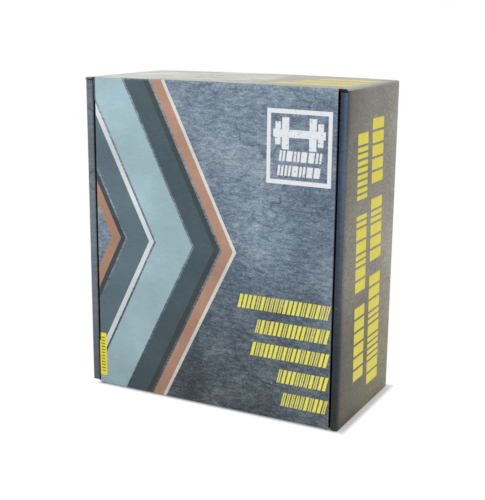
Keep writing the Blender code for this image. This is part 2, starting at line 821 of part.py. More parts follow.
def make_carabiner():
    """An oval hook with a forked end, and a gate that turns on a pin in the fork."""
    foot_z = OVAL_BOTTOM + GATE_FOOT_RISE
    nose_z = foot_z + TONGUE_LENGTH / 2 + GATE_LENGTH + CLEAR
    step = math.pi / OVAL_STEPS
    oval = [
        (OVAL_RADIUS, nose_z),
        *arc((0, OVAL_TOP), OVAL_RADIUS, 0, math.pi, step),
        *arc((0, OVAL_BOTTOM), OVAL_RADIUS, math.pi, 2 * math.pi, step),
        (OVAL_RADIUS, foot_z + TONGUE_RADIUS),
    ]
    line = [(x, MID_Y, z) for x, z in oval]
    hook = as_mesh(tube_curve("carabiner_hook", line, CARABINER_ROD))
    fork_half = TONGUE_THICKNESS / 2 + CLEAR
    wide = CARABINER_ROD + CUT_OVERRUN
    fork = box(
        "fork_slot",
        (OVAL_RADIUS - wide, MID_Y - fork_half, foot_z + TONGUE_RADIUS - FORK_DEPTH),
        (OVAL_RADIUS + wide, MID_Y + fork_half, foot_z + TONGUE_RADIUS + CUT_OVERRUN),
    )
    boolean(hook, "DIFFERENCE", fork)
    pivot = (OVAL_RADIUS, MID_Y, foot_z)
    hole = cylinder(
        "gate_hole", GATE_PIN_RADIUS + CLEAR, 2 * wide, pivot, "XZ", BAR_STEPS
    )
    boolean(hook, "DIFFERENCE", hole)
    keep(hook, "steel")

    axis = empty("gate_axis", pivot)
    eye = arc((0, 0), TONGUE_RADIUS, math.pi, 2 * math.pi)
    head = [(TONGUE_RADIUS, TONGUE_LENGTH), (-TONGUE_RADIUS, TONGUE_LENGTH)]
    bore = arc((0, 0), GATE_PIN_RADIUS + CLEAR, 0, 2 * math.pi, math.pi / 6)[:-1]
    gate = as_mesh(
        plate("carabiner_gate", [eye + head, bore], TONGUE_THICKNESS, "XZ", pivot)
    )
    middle = foot_z + TONGUE_LENGTH / 2 + GATE_LENGTH / 2
    rod = cylinder(
        "gate_rod", GATE_RADIUS, GATE_LENGTH, (OVAL_RADIUS, MID_Y, middle), "XY", BAR_STEPS
    )
    ear_reach = math.hypot(CARABINER_ROD, TONGUE_RADIUS)
    trim = cylinder("gate_trim", ear_reach + CLEAR, 2 * wide, pivot, "XZ", TURN_STEPS)
    boolean(rod, "DIFFERENCE", trim)
    boolean(gate, "UNION", rod)
    keep(gate, "steel", axis)
    pin = cylinder("carabiner_gate_pin", GATE_PIN_RADIUS, 2 * CARABINER_ROD, pivot, "XZ", BAR_STEPS)
    keep(pin, "black_steel")


def make_buckle(side, word):
    """A cam buckle: a frame of two plates, a back plate and a bar, a cam lever and its pin."""
    bar, pivot = (BAR_X, BAR_Z, BAR_BOSS), (PIVOT_X, PIVOT_Z, PIVOT_BOSS)
    top = (STRAP_X + TOP_BOSS_OFFSET, PIVOT_Z + TOP_BOSS_RISE, TOP_BOSS)
    hole_radius = PIN_RADIUS + CLEAR
    outline = wrap([bar, top, pivot])
    hole = arc((PIVOT_X, PIVOT_Z), hole_radius, 0, 2 * math.pi, math.pi / 6)[:-1]
    plates = []
    for end in (-1, 1):
        y = MID_Y + end * (PLATE_INNER + PLATE_OUTER) / 2
        cut = [mirrored(outline, side), mirrored(hole, side)]
        name = f"{word}_buckle_frame" if end < 0 else f"{word}_buckle_far_plate"
        plates.append(as_mesh(plate(name, cut, PLATE_THICKNESS, "XZ", (0, y, 0))))
    frame, far_plate = plates
    lap = PLATE_THICKNESS / 2
    half = PLATE_INNER + lap
    face = STRAP_X + WEBBING / 2 + CLEAR
    low_x, high_x = sorted((side * face, side * (face + BACK_PLATE_THICKNESS)))
    foot = BAR_Z + BACK_PLATE_RISE
    back = box(
        f"{word}_back_plate",
        (low_x, MID_Y - half, foot),
        (high_x, MID_Y + half, foot + BACK_PLATE_LENGTH),
    )
    bar_rod = cylinder(
        f"{word}_bar", BAR_RADIUS, 2 * half, (side * BAR_X, MID_Y, BAR_Z), "XZ", BAR_STEPS
    )
    boolean(frame, "UNION", far_plate)
    boolean(frame, "UNION", back)
    boolean(frame, "UNION", bar_rod)
    keep(frame, "steel")

    origin = (side * PIVOT_X, MID_Y, PIVOT_Z)
    axis = empty(f"{word}_lever_axis", origin)
    tip = (
        -LEVER_LENGTH * math.sin(LEVER_LEAN),
        -LEVER_LENGTH * math.cos(LEVER_LEAN),
        LEVER_TIP_RADIUS,
    )
    lobe = (
        CAM_OFFSET * math.cos(CAM_ANGLE),
        CAM_OFFSET * math.sin(CAM_ANGLE),
        CAM_RADIUS,
    )
    lever_outline = wrap([lobe, tip])
    bore = arc((0, 0), hole_radius, 0, 2 * math.pi, math.pi / 6)[:-1]
    width = 2 * (PLATE_INNER - LEVER_SIDE_GAP)
    lever = plate(
        f"{word}_cam_lever",
        [mirrored(lever_outline, side), mirrored(bore, side)],
        width,
        "XZ",
        origin,
    )
    keep(lever, "black_steel", axis)

    reach = PLATE_OUTER + CLEAR
    profile = [
        (0, reach + PIN_HEAD),
        (PIN_HEAD_RADIUS, reach + PIN_HEAD),
        (PIN_HEAD_RADIUS, reach),
        (PIN_RADIUS, reach),
        (PIN_RADIUS, -reach),
        (PIN_HEAD_RADIUS, -reach),
        (PIN_HEAD_RADIUS, -reach - PIN_HEAD),
        (0, -reach - PIN_HEAD),
    ]
    keep(turned(f"{word}_buckle_pin", profile, origin, "XZ", BAR_STEPS), "black_steel")
    make_spring(side, word)


def make_spring(side, word):
    """The torsion spring round the pin beside the lever, with one leg along the lever."""
    radius = PIN_RADIUS + CLEAR + SPRING_WIRE
    start_y = MID_Y - PLATE_INNER + CLEAR + SPRING_WIRE
    count = SPRING_TURNS * SPRING_STEPS
    line = [(PIVOT_X + radius, start_y, PIVOT_Z + SPRING_LEG)]
    for n in range(count + 1):
        angle = -2 * math.pi * n / SPRING_STEPS
        line.append(
            (
                PIVOT_X + radius * math.cos(angle),
                start_y + SPRING_PITCH * n / SPRING_STEPS,
                PIVOT_Z + radius * math.sin(angle),
            )
        )
    x, y, _ = line[-1]
    line.append((x, y, PIVOT_Z - SPRING_LEG))
    line = [(side * x, y, z) for x, y, z in line]
    gap = SPRING_PITCH - 2 * SPRING_WIRE
    print(f"{word} lever spring: gap between turns {gap * 1000:.2f} mm")
    wire = tube_curve(
        f"{word}_lever_spring", line, SPRING_WIRE, resolution=SPRING_RESOLUTION
    )
    keep(wire, "steel")


def make_handle(side, word):
    """A tube with a foam grip that spins on it, two end caps, a hand loop and a foot loop."""
    origin = (side * HANDLE_X, MID_Y, HANDLE_Z)
    tube = [
        (TUBE_RADIUS, TUBE_HALF),
        (TUBE_RADIUS, -TUBE_HALF),
        (TUBE_BORE, -TUBE_HALF),
        (TUBE_BORE, TUBE_HALF),
    ]
    keep(turned(f"{word}_handle_tube", tube, origin), "plastic")

    axis = empty(f"{word}_grip_axis", origin)
    half = GRIP_LENGTH / 2
    bore = TUBE_RADIUS + CLEAR
    end_radius, full, waist = GRIP_END_RADIUS, GRIP_RADIUS, GRIP_WAIST_RADIUS
    radii = (end_radius, full, waist, full, waist, full, end_radius)
    grip = [(radius, half * share) for radius, share in zip(radii, GRIP_RING_SHARES)]
    grip += [(bore, -half), (bore, half)]
    keep(turned(f"{word}_grip", grip, origin), "foam", axis)

    edge = CAP_EDGE
    cap = [
        (CAP_RADIUS - edge, CAP_THICKNESS / 2),
        (CAP_RADIUS, CAP_THICKNESS / 2 - edge),
        (CAP_RADIUS, edge - CAP_THICKNESS / 2),
        (CAP_RADIUS - edge, -CAP_THICKNESS / 2),
        (bore, -CAP_THICKNESS / 2),
        (bore, CAP_THICKNESS / 2),
    ]
    rise = half + CLEAR + CAP_THICKNESS / 2
    for end, place in ((1, "upper"), (-1, "lower")):
        at = (side * HANDLE_X, MID_Y, HANDLE_Z + end * rise)
        keep(turned(f"{word}_{place}_end_cap", cap, at), "plastic")

    inner_x = HANDLE_X - PLY_X - INNER_BEND
    rim = HANDLE_X - CAP_RADIUS - CLEAR - WEBBING / 2
    high, low = HANDLE_Z + TUBE_HALF, HANDLE_Z - TUBE_HALF
    bar_bend = BAR_RADIUS + CLEAR + WEBBING / 2
    hand = [
        (inner_x, low - BEND_RISE, INNER_BEND),
        (inner_x, high + BEND_RISE, INNER_BEND),
        (rim + OUTER_BEND, high, OUTER_BEND),
        (BAR_X, BAR_Z, bar_bend),
        (rim + OUTER_BEND, low, OUTER_BEND),
    ]
    foot = [
        (2 * HANDLE_X - inner_x, low - BEND_RISE, INNER_BEND),
        (2 * HANDLE_X - rim - OUTER_BEND, low, OUTER_BEND),
        (2 * HANDLE_X - rim - OUTER_BEND, high, OUTER_BEND),
        (2 * HANDLE_X - inner_x, high + BEND_RISE, INNER_BEND),
    ]
    for name, circles, material in (
        (f"{word}_hand_loop", hand, "black_webbing"),
        (f"{word}_foot_loop", foot, "yellow_webbing"),
    ):
        outlines = [
            mirrored(wrap(circles, WEBBING / 2), side),
            mirrored(wrap(circles, -WEBBING / 2), side),
        ]
        keep(plate(name, outlines, HAND_WIDTH, "XZ", (0, MID_Y, 0)), material)


def make_door_anchor():
    """A foam pad with a webbing loop round it, which is shut in a door to hang the trainer."""
    half, edge = PAD_LENGTH / 2, PAD_EDGE
    profile = [
        (0, half),
        (PAD_RADIUS - edge, half),
        (PAD_RADIUS, half - edge),
        (PAD_RADIUS, edge - half),
        (PAD_RADIUS - edge, -half),
        (0, -half),
    ]
    keep(turned("door_anchor_pad", profile, (0, MID_Y, PAD_Z), "XZ"), "foam")
    top_z = DOOR_LOOP_TOP - WEBBING / 2 - DOOR_LOOP_RADIUS
    circles = [(0, PAD_Z, PAD_WRAP), (0, top_z, DOOR_LOOP_RADIUS)]
    keep(belt("door_anchor_loop", circles, ANCHOR_WIDTH, (0, MID_Y, 0)), "black_webbing")


def build():
    """Makes every piece of the carton and of the trainer in it."""
    make_base_and_walls()
    for side, word in ((-1, "left"), (1, "right")):
        side_wall(side, f"{word}_side_wall")
        corner_flap(side, 1, f"{word}_upper_corner_flap")
        corner_flap(side, -1, f"{word}_lower_corner_flap")
    make_lid()
    make_tray()
    make_guide()
    make_ties()
    make_carabiner()
    make_anchor()
    make_main_straps()
    for side, word in ((-1, "left"), (1, "right")):
        make_buckle(side, word)
        make_handle(side, word)
    make_door_anchor()


clear_scene()
PARTS = collection("boxed_suspension_trainer")
CUTTERS = collection("cutters", shown=False)
build()
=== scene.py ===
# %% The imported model
import functools
import math

import bpy
import numpy as np
from mathutils import Matrix


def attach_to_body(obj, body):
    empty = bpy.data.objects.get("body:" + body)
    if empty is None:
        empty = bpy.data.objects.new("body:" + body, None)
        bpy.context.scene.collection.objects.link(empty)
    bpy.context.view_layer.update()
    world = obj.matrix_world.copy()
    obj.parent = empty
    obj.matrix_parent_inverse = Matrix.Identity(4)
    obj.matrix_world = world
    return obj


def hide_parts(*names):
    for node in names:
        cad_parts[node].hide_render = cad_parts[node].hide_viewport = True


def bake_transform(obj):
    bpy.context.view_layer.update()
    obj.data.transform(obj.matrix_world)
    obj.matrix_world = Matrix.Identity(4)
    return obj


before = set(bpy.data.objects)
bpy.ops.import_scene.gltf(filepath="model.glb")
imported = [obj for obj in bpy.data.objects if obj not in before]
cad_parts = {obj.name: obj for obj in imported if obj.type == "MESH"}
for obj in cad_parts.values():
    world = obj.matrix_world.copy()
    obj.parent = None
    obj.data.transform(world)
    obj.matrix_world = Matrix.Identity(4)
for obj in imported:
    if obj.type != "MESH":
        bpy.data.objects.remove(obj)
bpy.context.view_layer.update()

# %% [markdown]
# ## Camera
# The photograph was taken from the front right and a little above. A camera is a place, a
# direction and a lens. The direction comes from how the box's edges run in the picture, and the
# distance from how they close up towards their vanishing points. All were fitted to places along
# the box's edges, so the three axes of the camera can be written straight into its matrix.

# %% Camera
AZIMUTH, ELEVATION, ROLL = (math.radians(a) for a in (27.30, 13.52, 0.53))
TARGET = (0.0, 0.0, 0.125)
DISTANCE, SIDE_STEP, LIFT = 0.8079, 0.00099, -0.01083
SENSOR, LENS, NEAREST_SEEN = 36.0, 72.63, 0.01
scene = bpy.context.scene


def unit(vectors):
    """Each vector over its own length; one of no length stays as it is."""
    return vectors / np.maximum(np.linalg.norm(vectors, axis=-1, keepdims=True), 1e-12)


def placing(*columns):
    """The matrix whose columns are an object's X, Y and Z axes and its place."""
    made = np.eye(4)
    made[:3] = np.column_stack(columns)
    return Matrix(made.tolist())


def add(name, data):
    """An object that shows some data, linked to the scene."""
    made = bpy.data.objects.new(name, data)
    scene.collection.objects.link(made)
    return made


away = math.cos(ELEVATION)
back = np.array([math.sin(AZIMUTH) * away, -math.cos(AZIMUTH) * away, math.sin(ELEVATION)])
level = np.array([math.cos(AZIMUTH), math.sin(AZIMUTH), 0.0])
upright = np.cross(back, level)
right = math.cos(ROLL) * level + math.sin(ROLL) * upright
up = math.cos(ROLL) * upright - math.sin(ROLL) * level
place = TARGET + back * DISTANCE + right * SIDE_STEP + up * LIFT
lens = bpy.data.cameras.new("camera")
lens.sensor_width, lens.lens, lens.clip_start = SENSOR, LENS, NEAREST_SEEN
camera = add("camera", lens)
camera.matrix_world = placing(right, up, back, place)
scene.camera = camera
scene.view_settings.view_transform = "Standard"
print("camera at", place.round(3))

# %% [markdown]
# ## Writing materials in code
# A node material is a formula drawn as boxes and wires. Here each wire is a small Python object
# that knows how to add, multiply and compare, so that a formula such as `(x + 0.5 * z) * 40`
# makes its own math nodes. The shader's fixed numbers are set on its own sockets.

# %% Wires
MATHS = {
    "__add__": "ADD", "__radd__": "ADD", "__sub__": "SUBTRACT", "__mul__": "MULTIPLY",
    "__rmul__": "MULTIPLY", "__truediv__": "DIVIDE", "size": "ABSOLUTE", "fraction": "FRACT",
    "whole": "FLOOR", "sine": "SINE", "root": "SQRT", "most": "MAXIMUM",
}


class Wire:
    """One value that flows through a material. Arithmetic on it adds Math nodes."""

    def __init__(self, finish, socket):
        self.finish, self.socket = finish, socket

    def math(self, operation, *others):
        return self.finish.math(operation, self, *others)

    def __rsub__(self, other):
        return self.finish.math("SUBTRACT", other, self)

    def rises(self, low, high):
        """0 below low, 1 above high, and a smooth climb in between."""
        inputs = {"Value": self, "From Min": low, "From Max": high}
        return self.finish.wire("MapRange", inputs, "Result", interpolation_type="SMOOTHSTEP")

    def falls(self, low, high):
        """1 below low, 0 above high."""
        return 1 - self.rises(low, high)

    def within(self, low, high, soft=0.00012):
        """1 between low and high, with soft borders."""
        return self.rises(low - soft, low + soft) * self.falls(high - soft, high + soft)


for word, operation in MATHS.items():
    setattr(Wire, word, functools.partialmethod(Wire.math, operation))


# %% Finishes
def paint(code):
    """The linear colour of an sRGB hex code: each channel to the power 2.4 above its toe."""
    channels = np.array([int(code[n : n + 2], 16) for n in (1, 3, 5)]) / 255
    curve = ((channels + 0.055) / 1.055) ** 2.4
    return (*np.where(channels <= 0.04045, channels / 12.92, curve), 1.0)


class Finish:
    """A material under construction. Each method adds a node and returns its wire."""

    def __init__(self, name, view, **sockets):
        self.material = bpy.data.materials.new(name)
        self.material.use_nodes = True
        self.material.diffuse_color = paint(view)
        self.tree = self.material.node_tree
        self.shader = self.tree.nodes["Principled BSDF"]
        for socket, value in sockets.items():
            self.shader.inputs[socket.replace("_", " ")].default_value = value

    def wire(self, kind, inputs, output=0, **settings):
        """A node's output. An input is a wire, a number, a tuple or a hex code."""
        made = self.tree.nodes.new("ShaderNode" + kind)
        for key, value in settings.items():
            setattr(made, key, value)
        for key, value in inputs.items():
            if isinstance(value, Wire):
                self.tree.links.new(value.socket, made.inputs[key])
            else:
                made.inputs[key].default_value = paint(value) if isinstance(value, str) else value
        return Wire(self, made.outputs[output])

    def math(self, operation, *terms):
        return self.wire("Math", dict(enumerate(terms)), operation=operation)

    def attribute(self, name, output="Fac"):
        return self.wire("Attribute", {}, output, attribute_name=name)

    def object_place(self):
        return self.wire("TexCoord", {}, "Object")

    def split(self, vector):
        node = self.wire("SeparateXYZ", {0: vector}).socket.node
        return [Wire(self, out) for out in node.outputs]

    def join(self, x, y, z=0.0):
        return self.wire("CombineXYZ", {0: x, 1: y, 2: z})

    def stretched(self, vector, scale):
        return self.wire("VectorMath", {0: vector, 1: scale}, operation="MULTIPLY")

    def noise(self, at, scale, detail=2.0, roughness=0.5):
        inputs = {"Vector": at, "Scale": scale, "Detail": detail, "Roughness": roughness}
        return self.wire("TexNoise", inputs)

    def cells(self, at, scale, feature="F1"):
        return self.wire("TexVoronoi", {"Vector": at, "Scale": scale}, "Distance", feature=feature)

    def dice(self, x, y=0.0):
        """A number from 0 to 1 that is fixed for each pair of whole numbers."""
        pair = {"Vector": self.join(x, y)}
        return self.wire("TexWhiteNoise", pair, "Value", noise_dimensions="2D")

    def blend(self, share, first, second):
        """The first colour where share is 0 and the second where it is 1."""
        return self.wire("Mix", {0: share, 6: first, 7: second}, 2, data_type="RGBA")

    def layers(self, colour, *coats):
        """A colour under coats, each of which is a share and the colour that it brings."""
        for share, coat in coats:
            colour = self.blend(share, colour, coat)
        return colour

    def tinted(self, colour, shade):
        """A colour multiplied by a grey value."""
        inputs = {0: 1.0, 6: colour, 7: self.join(shade, shade, shade)}
        return self.wire("Mix", inputs, 2, data_type="RGBA", blend_type="MULTIPLY")

    def ramp(self, value, stops, interpolation="LINEAR"):
        """Colours along a value. A stop is a place and a hex code or a grey number."""
        made = self.wire("ValToRGB", {0: value})
        band = made.socket.node.color_ramp
        band.interpolation = interpolation
        for n, (where, colour) in enumerate(stops):
            stop = band.elements[n] if n < 2 else band.elements.new(where)
            stop.position = where
            stop.color = paint(colour) if isinstance(colour, str) else (colour,) * 3 + (1,)
        return made

    def done(self, colour, roughness, height, distance, strength):
        """Plugs in colour, roughness and a bump whose height of 1 stands for distance metres."""
        inputs = {"Height": height, "Distance": distance, "Strength": strength}
        plugs = {"Base Color": colour, "Roughness": roughness, "Normal": self.wire("Bump", inputs)}
        for socket, wire in plugs.items():
            self.tree.links.new(wire.socket, self.shader.inputs[socket])
        return self.material


# %% [markdown]
# ## Floor, sky and lamps
# A product shot on white needs a floor that reads as white yet still takes the box's shadow. The
# floor is matt white, and it also glows for rays that come from the camera or from a mirror-like
# surface. The glow is weak at the box's foot, so the shadow shows there as a narrow soft band,
# and full a little further out. The light on the box stays plain: a pale sky, one big soft lamp
# at the front left and weaker ones overhead and at the right.

# %% Floor and sky
WHITE = (1, 1, 1, 1)
FLOOR_HALF = 6.0
FOOT_HALF, SHADOW_SHIFT = (0.1065, 0.0540), (0.0050, 0.0010)
SHADOW_REACH, GLOW_AT_FOOT, SKY_LIGHT = 0.0042, 0.12, 0.50


def seen_by_eye(tree):
    """1 for a ray from the camera, from a mirror-like surface or through glass, else 0."""
    rays = tree.nodes.new("ShaderNodeLightPath")
    seen = rays.outputs["Is Camera Ray"]
    for kind in ("Is Glossy Ray", "Is Transmission Ray"):
        either = tree.nodes.new("ShaderNodeMath")
        either.operation = "MAXIMUM"
        tree.links.new(seen, either.inputs[0])
        tree.links.new(rays.outputs[kind], either.inputs[1])
        seen = either.outputs[0]
    return seen


def floor_material():
    """Matt white for light, and white with a share of glow for the eye and for reflections.

    The key lamp's shadow falls right and to the rear, so the dim patch is the box's foot moved
    that way. With d the distance to it, sqrt(max(|x| - a, 0)^2 + max(|y| - b, 0)^2) from its
    centre, the glow climbs from its share at the patch to 1 at the shadow's reach."""
    f = Finish("studio_floor", "#ffffff", Roughness=0.9, Base_Color=WHITE)
    x, y, _ = f.split(f.object_place())
    parts = zip((x, y), SHADOW_SHIFT, FOOT_HALF)
    a, b = (((axis - shift).size() - half).most(0.0) for axis, shift, half in parts)
    share = (a * a + b * b).root().rises(0.0, SHADOW_REACH) * (1 - GLOW_AT_FOOT) + GLOW_AT_FOOT
    seen, lit = Wire(f, seen_by_eye(f.tree)), Wire(f, f.shader.outputs[0])
    glow = f.wire("Emission", {"Color": WHITE, "Strength": 1.0})
    mixed = f.wire("MixShader", {0: seen * share, 1: lit, 2: glow})
    f.tree.links.new(mixed.socket, f.tree.nodes["Material Output"].inputs["Surface"])
    return f.material


floor_mesh = bpy.data.meshes.new("studio_floor")
corners = [(a * FLOOR_HALF, b * FLOOR_HALF, 0.0) for a, b in ((-1, -1), (1, -1), (1, 1), (-1, 1))]
floor_mesh.from_pydata(corners, [], [(0, 1, 2, 3)])
floor_mesh.materials.append(floor_material())
floor = add("studio_floor", floor_mesh)

world = bpy.data.worlds.new("studio")
world.use_nodes = True
scene.world = world
sky = world.node_tree
strength = sky.nodes.new("ShaderNodeMapRange")
strength.inputs["To Min"].default_value = SKY_LIGHT
sky.links.new(seen_by_eye(sky), strength.inputs["Value"])
sky.links.new(strength.outputs["Result"], sky.nodes["Background"].inputs["Strength"])
sky.nodes["Background"].inputs["Color"].default_value = WHITE


# %% Lamps
def soft_lamp(name, at, aim, size, power):
    """A square area lamp whose -Z axis points from its place to its aim."""
    data = bpy.data.lights.new(name, "AREA")
    data.size, data.energy = size, power
    away = unit(np.subtract(at, aim))
    side = unit(np.cross((0.0, 0.0, 1.0), away))
    add(name, data).matrix_world = placing(side, np.cross(away, side), away, at)


soft_lamp("key_lamp", (-0.75, -1.75, 0.95), (0, 0, 0.1), 1.2, 10.4)
soft_lamp("top_lamp", (0.2, 0.5, 1.6), (0, 0, 0.2), 1.0, 5.0)
soft_lamp("side_lamp", (1.7, -0.3, 0.9), (0, 0, 0.1), 1.0, 2.0)

# %% [markdown]
# ## Sheets of corrugated board
# The whole carton is one sheet of board, cut and folded. Here each panel is a grid of points on
# its printed face: a function turns two flat coordinates, across and along, into places. The
# inner face lies one thickness behind it, and the cut edges join the two. Cells of the grid can
# be left out, which makes slots and notches. Four attributes go with each point: its place at
# rest, its depth in the board, its distance to a fold or cut, and its place across the flutes.

# %% Pieces
SIDES = ((-1, "left"), (1, "right"))
HALF_WIDTH, FRONT, REAR, TOP = 0.1085, -0.054, 0.054, 0.250
SMOOTH_BELOW = math.radians(38)


def new_piece(name, points, faces, material):
    """An object at the origin from an array of points and a list of arrays of faces."""
    data = bpy.data.meshes.new(name)
    rows = [face for group in faces for face in np.asarray(group).tolist()]
    data.from_pydata(points.tolist(), [], rows)
    data.polygons.foreach_set("use_smooth", np.ones(len(data.polygons), bool))
    data.set_sharp_from_angle(angle=SMOOTH_BELOW)
    data.materials.append(material)
    return add(name, data)


def attach(piece, name, values):
    """Keeps one value, or one vector, for each point of a piece."""
    kind, key = ("FLOAT_VECTOR", "vector") if values.ndim == 2 else ("FLOAT", "value")
    piece.data.attributes.new(name, kind, "POINT").data.foreach_set(key, values.ravel())


def settle(piece, body, slot, *nodes):
    """Puts a piece on its CAD body and hides the CAD nodes that it stands for; slot is not used."""
    if body:
        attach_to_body(piece, body)
    if nodes:
        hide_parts(*nodes)
    return piece


# %% Grids of board
BOARD, CREASE_RADIUS, EDGE_REACH = 0.0016, 0.0017, 0.004
TOP_SWELL, SWELL_FROM = 0.0009, 0.6


def lines(*marks, step=0.008, near=(0.0004, 0.001, 0.002, 0.004)):
    """Grid lines from the first mark to the last, with extra ones close to each mark."""
    marks = np.array(marks, float)
    count = max(2, round((marks[-1] - marks[0]) / step) + 1)
    found = [marks, np.linspace(marks[0], marks[-1], count)]
    found += [marks + sign * offset for offset in near for sign in (-1, 1)]
    every = np.unique(np.concatenate(found).round(6))
    every = every[(every >= marks[0]) & (every <= marks[-1])]
    return every[np.append(np.diff(every) > 0.00012, True) | np.isin(every, marks.round(6))]


def mids(values):
    """The middle of each stretch between neighbouring values."""
    return (values[1:] + values[:-1]) / 2


def spans(values, pairs):
    """True for each value that lies between the two numbers of a pair."""
    return np.any([(values > low) & (values < high) for low, high in pairs], axis=0)


def nearest(values, marks):
    """The distance of each value to its nearest mark, endless where there is none."""
    return np.abs(values[:, None] - np.array([np.inf, *marks])).min(1)


def run_of(line):
    """The length of a line up to each of its points."""
    return np.concatenate([[0], np.cumsum(np.linalg.norm(np.diff(line, axis=0), axis=1))])


def outward(points):
    """Unit normals of a grid: the change across times the change along, as a cross product."""
    return unit(np.cross(np.gradient(points, axis=0), np.gradient(points, axis=1)))


def full_box(points):
    """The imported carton's top swells: up by 0.9 mm times (1 - (x / half width) squared)."""
    swollen = points.copy()
    share = np.clip((points[..., 2] / TOP - SWELL_FROM) / (1 - SWELL_FROM), 0, 1)
    swollen[..., 2] += TOP_SWELL * share * (1 - (points[..., 0] / HALF_WIDTH) ** 2)
    return swollen


def board(name, u, v, outer, material, folds_u=(), folds_v=(), keep=None, flute=None):
    """A closed sheet of board from a grid of points on its outer face.

    The inner face is each point less its normal times the thickness. A border runs wherever a
    kept cell has no kept neighbour, and joins the two faces with quads."""
    rows, columns = len(u), len(v)
    shaped = full_box(outer) if material is PRINTED else outer
    points = np.concatenate([shaped, shaped - outward(shaped) * BOARD]).reshape(-1, 3)
    under = rows * columns
    index = np.arange(under).reshape(rows, columns)
    keep = np.ones((rows - 1, columns - 1), bool) if keep is None else keep
    a, b, c, d = index[:-1, :-1], index[1:, :-1], index[1:, 1:], index[:-1, 1:]
    faces = [np.stack([a, b, c, d], -1)[keep], np.stack([d, c, b, a], -1)[keep] + under]
    near = np.pad(keep, 1)
    rims = [(near[:-2, 1:-1], a, d), (near[2:, 1:-1], c, b)]
    rims += [(near[1:-1, :-2], b, a), (near[1:-1, 2:], d, c)]
    for neighbour, start, end in rims:
        s, e = start[keep & ~neighbour], end[keep & ~neighbour]
        faces.append(np.stack([s, e, e + under, s + under], -1))
    used = np.unique(np.concatenate([f.ravel() for f in faces]))
    fresh = np.zeros(len(points), int)
    fresh[used] = np.arange(len(used))
    made = new_piece(name, points[used], [fresh[f] for f in faces], material)

    edge = np.minimum.outer(nearest(u, folds_u), nearest(v, folds_v))
    wave = np.broadcast_to(u[:, None], (rows, columns)) if flute is None else flute
    attach(made, "place", np.concatenate([outer, outer]).reshape(-1, 3)[used])
    attach(made, "depth", np.repeat([0.0, 1.0], under)[used])
    attach(made, "edge", np.tile(np.minimum(edge, EDGE_REACH).ravel(), 2)[used])
    attach(made, "flute", np.tile(wave.ravel(), 2)[used])
    return made


# %% Folded lines and cut corners
def track(corners, radius=CREASE_RADIUS, steps=6):
    """A flat line through corners, rounded at each inner one, and its length at each point.

    The arc at a corner starts one tangent length before it, t = r tan(turn / 2)."""
    corners = np.array(corners, float)
    ahead = unit(np.diff(corners, axis=0))
    points = [corners[:1]]
    for corner, before, after in zip(corners[1:-1], ahead, ahead[1:]):
        turn = math.atan2(np.cross(before, after), before @ after)
        side = math.copysign(1, turn) * np.array([-before[1], before[0]])
        centre = corner - before * abs(radius * math.tan(turn / 2)) + side * radius
        angles = np.linspace(0, turn, steps + 1)[:, None]
        spoke = -side * radius
        across = np.array([-spoke[1], spoke[0]])
        points.append(centre + spoke * np.cos(angles) + across * np.sin(angles))
    line = np.concatenate([*points, corners[-1:]])
    return line, run_of(line)


def along_track(line, length, at):
    """Places on a track at the given lengths, one column for each flat axis."""
    return np.stack([np.interp(at, length, line[:, n]) for n in (0, 1)], -1)


def cut_corner(u, v, corner_u, corner_v, size, round_off=False):
    """Moves the points near one corner of a sheet, so that the corner is cut or rounded off.

    With p and q the shares of the way to the corner, a cut moves (p, q) to (p - pq / 2,
    q - pq / 2), and a round corner moves it to (p sqrt(1 - q q / 2), q sqrt(1 - p p / 2))."""
    side_u = math.copysign(1, corner_u - u.mean())
    side_v = math.copysign(1, corner_v - v.mean())
    p = np.clip(1 - (corner_u - u) * side_u / size, 0, None)
    q = np.clip(1 - (corner_v - v) * side_v / size, 0, None)
    if round_off:
        fresh_p, fresh_q = p * np.sqrt(1 - q * q / 2), q * np.sqrt(1 - p * p / 2)
    else:
        fresh_p, fresh_q = p - p * q / 2, q - p * q / 2
    return u + (fresh_p - p) * size * side_u, v + (fresh_q - q) * size * side_v


# %% [markdown]
# ## Printed board
# The outside of the carton is coated paper printed with a worn concrete wall. Print is thin, so
# it is all colour and no shape: noise at several sizes gives the mottling, a cell pattern whose
# borders are kept thin gives cracks, and ramps give the tone of each face. The design on it is
# generic: bent stripes, rows of slanted bars and a stamp with a dumbbell. The same material
# draws the two cut liners and the wave between them, and bare kraft paper on the inner face.
# Painted light is mixed into this colour too: shade on the side face, in the gaps beside the lid
# and in the flute hollows of the cut edges, and a highlight along the folds.

# %% Stone
def concrete(f, at, x, y, z):
    """Mottled stone: large patches, small streaky grains, thin cracks and pale chips."""
    patches = f.noise(at, 17, 5, 0.62)
    grain = f.noise(f.stretched(at, (0.75, 1, 2.3)), 250, 4, 0.75)
    speck = f.noise(f.stretched(at, (0.8, 1, 1.7)), 720, 2, 0.7)
    warp = f.noise(at, 40, 3, 0.6)
    bent = f.join(x + warp * 0.03, y + warp * 0.02, z - warp * 0.03)
    crack = f.cells(bent, 19, "DISTANCE_TO_EDGE").falls(0.004, 0.022)
    crack = crack * f.noise(at, 13, 3, 0.6).rises(0.46, 0.58)
    chips = f.noise(at, 260).rises(0.68, 0.76) * f.noise(at, 30).rises(0.46, 0.6)
    return patches * 0.34 + grain * 0.38 + speck * 0.28, crack, chips


def stone_ramp(f, tone, *codes):
    """The colour of stone by its tone, from its darkest to its palest grains."""
    return f.ramp(tone, zip((0.385, 0.46, 0.50, 0.54, 0.615), codes))
